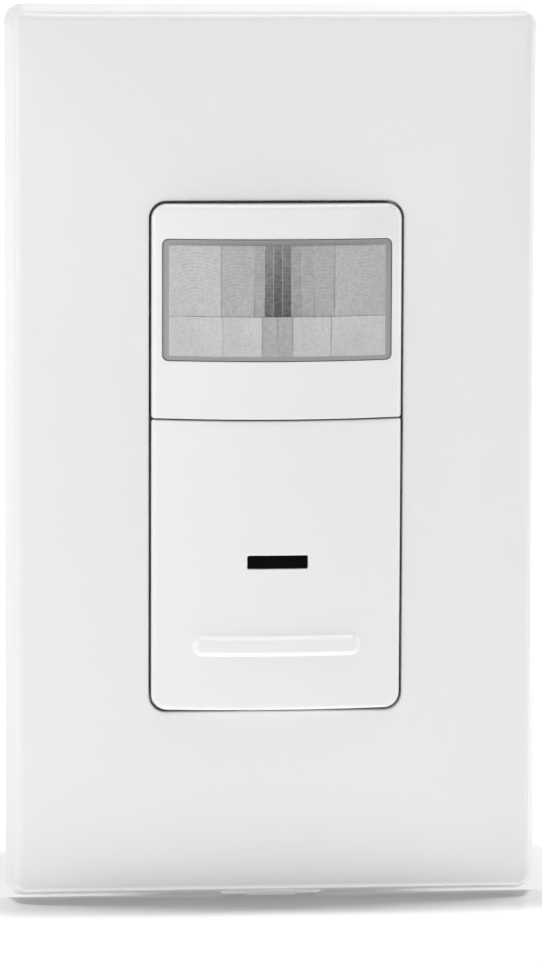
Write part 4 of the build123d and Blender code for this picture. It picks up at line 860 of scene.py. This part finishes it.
def facet_finish():
    """Milky polyethylene with the facets' rings: ridges that repeat with the distance from each centre.

    The colour is mixed towards a painted shade where the dark shroud behind shows through, and a fine
    unevenness of the moulding and the rings themselves cloud it.
    """
    lens = settings()[2]
    colours = bpy.context.scene.finish_colours
    spot, cloud_gain, cloud_middle, cloud_depth = 0.5 * MM, 7.0, 4.0, 0.06
    name, _, roughness, grain, rest = FINISHES["lens_plastic"]
    made = surface(f"{name} facets", (1, 1, 1), roughness, grain, dull=rest["dull"], also=rest["also"])
    shader = made.node_tree.nodes["Principled BSDF"]
    place = add_node(made, "ShaderNodeTexCoord").outputs["Object"]
    centre = add_node(made, "ShaderNodeAttribute", attribute_name="facet_centre").outputs["Vector"]
    ends = {0: place, 1: centre}
    away = add_node(made, "ShaderNodeVectorMath", ends, operation="DISTANCE").outputs["Value"]
    ring = maths(made, "FRACT", maths(made, "MULTIPLY", away, 1 / lens.groove_pitch))
    bump = add_node(made, "ShaderNodeBump", {"Height": ring, "Distance": lens.groove_depth, "Strength": 1.0})
    noise = {"Vector": place, "Scale": 1 / spot, "Detail": 2.0}
    cloud = add_node(made, "ShaderNodeTexNoise", noise).outputs["Fac"]
    cloud = maths(made, "SUBTRACT", maths(made, "MULTIPLY_ADD", cloud, cloud_gain, ring), cloud_middle)
    # The painted shade of the dark inside, read from the facets' attribute
    shade = add_node(made, "ShaderNodeAttribute", attribute_name="facet_shade").outputs["Fac"]
    shade = maths(made, "MULTIPLY_ADD", cloud, cloud_depth, shade)
    link = made.node_tree.links.new
    # The facets' colour, mixed with the painted shade
    link(mixed(made, shade, colours.lens_facet, colours.lens_shade), shader.inputs["Base Color"])
    link(bump.outputs["Normal"], shader.inputs["Normal"])
    return made


def dress_nodes():
    """Gives every part of the frame the finish of its slot."""
    for part in frame["record"]["subparts"]:
        mesh = frame["nodes"][part["node"]].data
        mesh.materials.clear()
        mesh.materials.append(finish(part["material_slot"]))


def lamp(name, place, width, height, power, floor, state):
    """A soft rectangular lamp that faces the middle of the switch.

    With the state INCLUDE it lights the floor alone. With EXCLUDE it leaves the floor out and shines
    through it, and with none it lights everything.
    """
    data = bpy.data.lights.new(name, "AREA")
    data.shape, data.size, data.size_y, data.energy = "RECTANGLE", width, height, power
    made = bpy.data.objects.new(name, data)
    bpy.context.scene.collection.objects.link(made)
    aim = Vector(place).to_track_quat("Z", "Y").to_matrix().to_4x4()
    made.matrix_world = Matrix.Translation(place) @ aim
    if state:
        chosen = bpy.data.collections.new(name)
        chosen.objects.link(floor)
        chosen.collection_objects[0].light_linking.link_state = state
        made.light_linking.receiver_collection = chosen
        if state == "EXCLUDE":
            made.light_linking.blocker_collection = chosen


def seen(material):
    """One for rays from the camera or from a gloss or clear surface, and nought for the light itself."""
    path = add_node(material, "ShaderNodeLightPath").outputs
    both = maths(material, "ADD", path["Is Camera Ray"], path["Is Glossy Ray"])
    return maths(material, "ADD", both, path["Is Transmission Ray"], use_clamp=True)


def build_floor(levels):
    """A pale floor under the plate's foot, whose glow grows with the distance, so that it ends in white."""
    reach, near, far = 4.0, 0.1, 0.9
    corners = [(x * reach, y * reach, PLATE_LOW.z) for x, y in ((-1, -1), (1, -1), (1, 1), (-1, 1))]
    mesh = bpy.data.meshes.new("floor")
    mesh.from_pydata(corners, [], [(0, 1, 2, 3)])
    # Pale grey paint with a trace of gloss, which the lamps light to white: the foot shows faintly in it
    paint_colour, paint_roughness, paint_grain = linear("#bcbcbc"), 0.3, 40.0
    coat = surface(
        "Satin grey paint", paint_colour, paint_roughness, paint_grain, dull=0.05, also={"IOR": 1.45}
    )
    shader = coat.node_tree.nodes["Principled BSDF"]
    shader.inputs["Emission Color"].default_value = (1, 1, 1, 1)
    place = add_node(coat, "ShaderNodeTexCoord").outputs["Object"]
    away = add_node(coat, "ShaderNodeVectorMath", {0: place}, operation="LENGTH").outputs["Value"]
    spread = {"Value": away, "From Min": near, "From Max": far,
              "To Min": levels.floor_glow, "To Max": levels.far_glow}
    glow = add_node(coat, "ShaderNodeMapRange", spread).outputs["Result"]
    glow = maths(coat, "MULTIPLY", seen(coat), glow)
    coat.node_tree.links.new(glow, shader.inputs["Emission Strength"])
    mesh.materials.append(coat)
    floor = bpy.data.objects.new("floor", mesh)
    bpy.context.scene.collection.objects.link(floor)
    return floor


def build_sky(levels):
    """A world that is white to the eye and in reflections, and a softer light on the object."""
    world = bpy.data.worlds.new("Plain white room")
    bpy.context.scene.world = world
    world.use_nodes = True
    sky = world.node_tree.nodes["Background"]
    sky.inputs["Color"].default_value = (1, 1, 1, 1)
    strength = maths(world, "MULTIPLY_ADD", seen(world), 1 - levels.sky, levels.sky)
    world.node_tree.links.new(strength, sky.inputs["Strength"])


# Each lamp's place, width and height in metres, the level that gives its power, and its link to the floor
LAMPS = {
    # Upright strips beside the switch bring out its drafted sides
    "left lamp": ((-1.0, -0.24, 0.1), 0.4, 1.2, "left_power", None),
    "right lamp": ((1.0, -0.03, 0.1), 0.4, 1.2, "right_power", None),
    # From above and below comes the bright edge round the raised bar
    "top lamp": ((0.05, -0.13, 1.0), 0.9, 0.6, "top_power", "EXCLUDE"),
    "low lamp": ((0.05, 0.02, -0.95), 0.9, 0.7, "low_power", "EXCLUDE"),
    # A thin strip above throws the plate's short shadow on the floor
    "rear lamp": ((0, 0.04, 0.9), 0.6, 0.05, "rear_power", "INCLUDE"),
    # The rear housing and the faces turned to the camera have a lamp each
    "back lamp": ((0.4, 1.5, 0.5), 1.0, 1.0, "back_power", "EXCLUDE"),
    "front lamp": ((-0.4, -1.7, 0.25), 3.0, 0.75, "front_power", "EXCLUDE"),
}


def build_camera():
    """The camera, a little to the left of the plate and above its middle, with a trace of roll."""
    turn, lift, roll = math.radians(-5.425), math.radians(6.821), math.radians(0.2)
    distance, film_height, focal_length = 0.7, 36, 199.4
    target = Vector((-0.00004, 0, -0.00395))
    back = Vector((math.sin(turn) * math.cos(lift), -math.cos(turn) * math.cos(lift), math.sin(lift)))
    data = bpy.data.cameras.new("camera")
    data.sensor_fit, data.sensor_height, data.lens = "VERTICAL", film_height, focal_length
    camera = bpy.data.objects.new("camera", data)
    bpy.context.scene.collection.objects.link(camera)
    aim = back.to_track_quat("Z", "Y").to_matrix().to_4x4() @ Matrix.Rotation(roll, 4, "Z")
    camera.matrix_world = Matrix.Translation(target + distance * back) @ aim
    bpy.context.scene.camera = camera


def build_stage():
    """The floor, plain light from all round, the soft lamps and the camera."""
    scene = bpy.context.scene
    levels = scene.stage_levels
    floor = build_floor(levels)
    build_sky(levels)
    for name, (place, width, height, level, state) in LAMPS.items():
        lamp(name, place, width, height, getattr(levels, level), floor, state)
    build_camera()
    scene.view_settings.view_transform = "Standard"


class SENSORSWITCH_OT_wall_plate(Operator):
    """Builds the domed wall plate and its clips"""

    bl_idname = "sensor_switch.wall_plate"
    bl_label = "Wall plate"

    def execute(self, context):
        build_plate()
        build_clips()
        return {"FINISHED"}


class SENSORSWITCH_OT_sensor_bezel(Operator):
    """Builds the bezel round the lens window"""

    bl_idname = "sensor_switch.sensor_bezel"
    bl_label = "Sensor bezel"

    def execute(self, context):
        build_bezel()
        return {"FINISHED"}


class SENSORSWITCH_OT_push_pad(Operator):
    """Builds the push pad with its slot, its raised bar and what it carries inside"""

    bl_idname = "sensor_switch.push_pad"
    bl_label = "Push pad"

    def execute(self, context):
        build_pad()
        build_bar()
        build_pad_inside()
        soften_springs()
        return {"FINISHED"}


class SENSORSWITCH_OT_lens_facets(Operator):
    """Builds the ringed facets of the lens"""

    bl_idname = "sensor_switch.lens_facets"
    bl_label = "Lens facets"

    def execute(self, context):
        build_facets()
        return {"FINISHED"}


class SENSORSWITCH_OT_screw_threads(Operator):
    """Builds the thread ridges of the long screws"""

    bl_idname = "sensor_switch.screw_threads"
    bl_label = "Screw threads"

    def execute(self, context):
        build_threads()
        return {"FINISHED"}


class SENSORSWITCH_OT_finishes(Operator):
    """Gives every part of the frame its finish"""

    bl_idname = "sensor_switch.finishes"
    bl_label = "Finishes"

    def execute(self, context):
        dress_nodes()
        return {"FINISHED"}


class SENSORSWITCH_OT_stage(Operator):
    """Builds the floor, the lamps and the camera"""

    bl_idname = "sensor_switch.stage"
    bl_label = "Stage"

    def execute(self, context):
        build_stage()
        return {"FINISHED"}


OPERATORS = (
    SENSORSWITCH_OT_wall_plate,
    SENSORSWITCH_OT_sensor_bezel,
    SENSORSWITCH_OT_push_pad,
    SENSORSWITCH_OT_lens_facets,
    SENSORSWITCH_OT_screw_threads,
    SENSORSWITCH_OT_finishes,
    SENSORSWITCH_OT_stage,
)


class SENSORSWITCH_PT_steps(Panel):
    """Lists the steps that build the switch's looks"""

    bl_idname = "SENSORSWITCH_PT_steps"
    bl_label = "Sensor switch"
    bl_space_type = "VIEW_3D"
    bl_region_type = "UI"
    bl_category = "Sensor switch"

    def draw(self, context):
        for step in OPERATORS:
            self.layout.operator(step.bl_idname)


GROUPS = {
    "plate_sizes": PlateSizes,
    "device_sizes": DeviceSizes,
    "lens_sizes": LensSizes,
    "stage_levels": StageLevels,
    "finish_colours": FinishColours,
}


def register():
    for kind in (*GROUPS.values(), *OPERATORS, SENSORSWITCH_PT_steps):
        bpy.utils.register_class(kind)
    for name, group in GROUPS.items():
        setattr(bpy.types.Scene, name, PointerProperty(type=group))


def unregister():
    for name in GROUPS:
        delattr(bpy.types.Scene, name)
    for kind in (SENSORSWITCH_PT_steps, *OPERATORS, *GROUPS.values()):
        bpy.utils.unregister_class(kind)


def main():
    register()
    bpy.ops.sensor_switch.wall_plate()
    bpy.ops.sensor_switch.sensor_bezel()
    bpy.ops.sensor_switch.push_pad()
    bpy.ops.sensor_switch.lens_facets()
    bpy.ops.sensor_switch.screw_threads()
    bpy.ops.sensor_switch.finishes()
    bpy.ops.sensor_switch.stage()


if __name__ == "__main__":
    main()
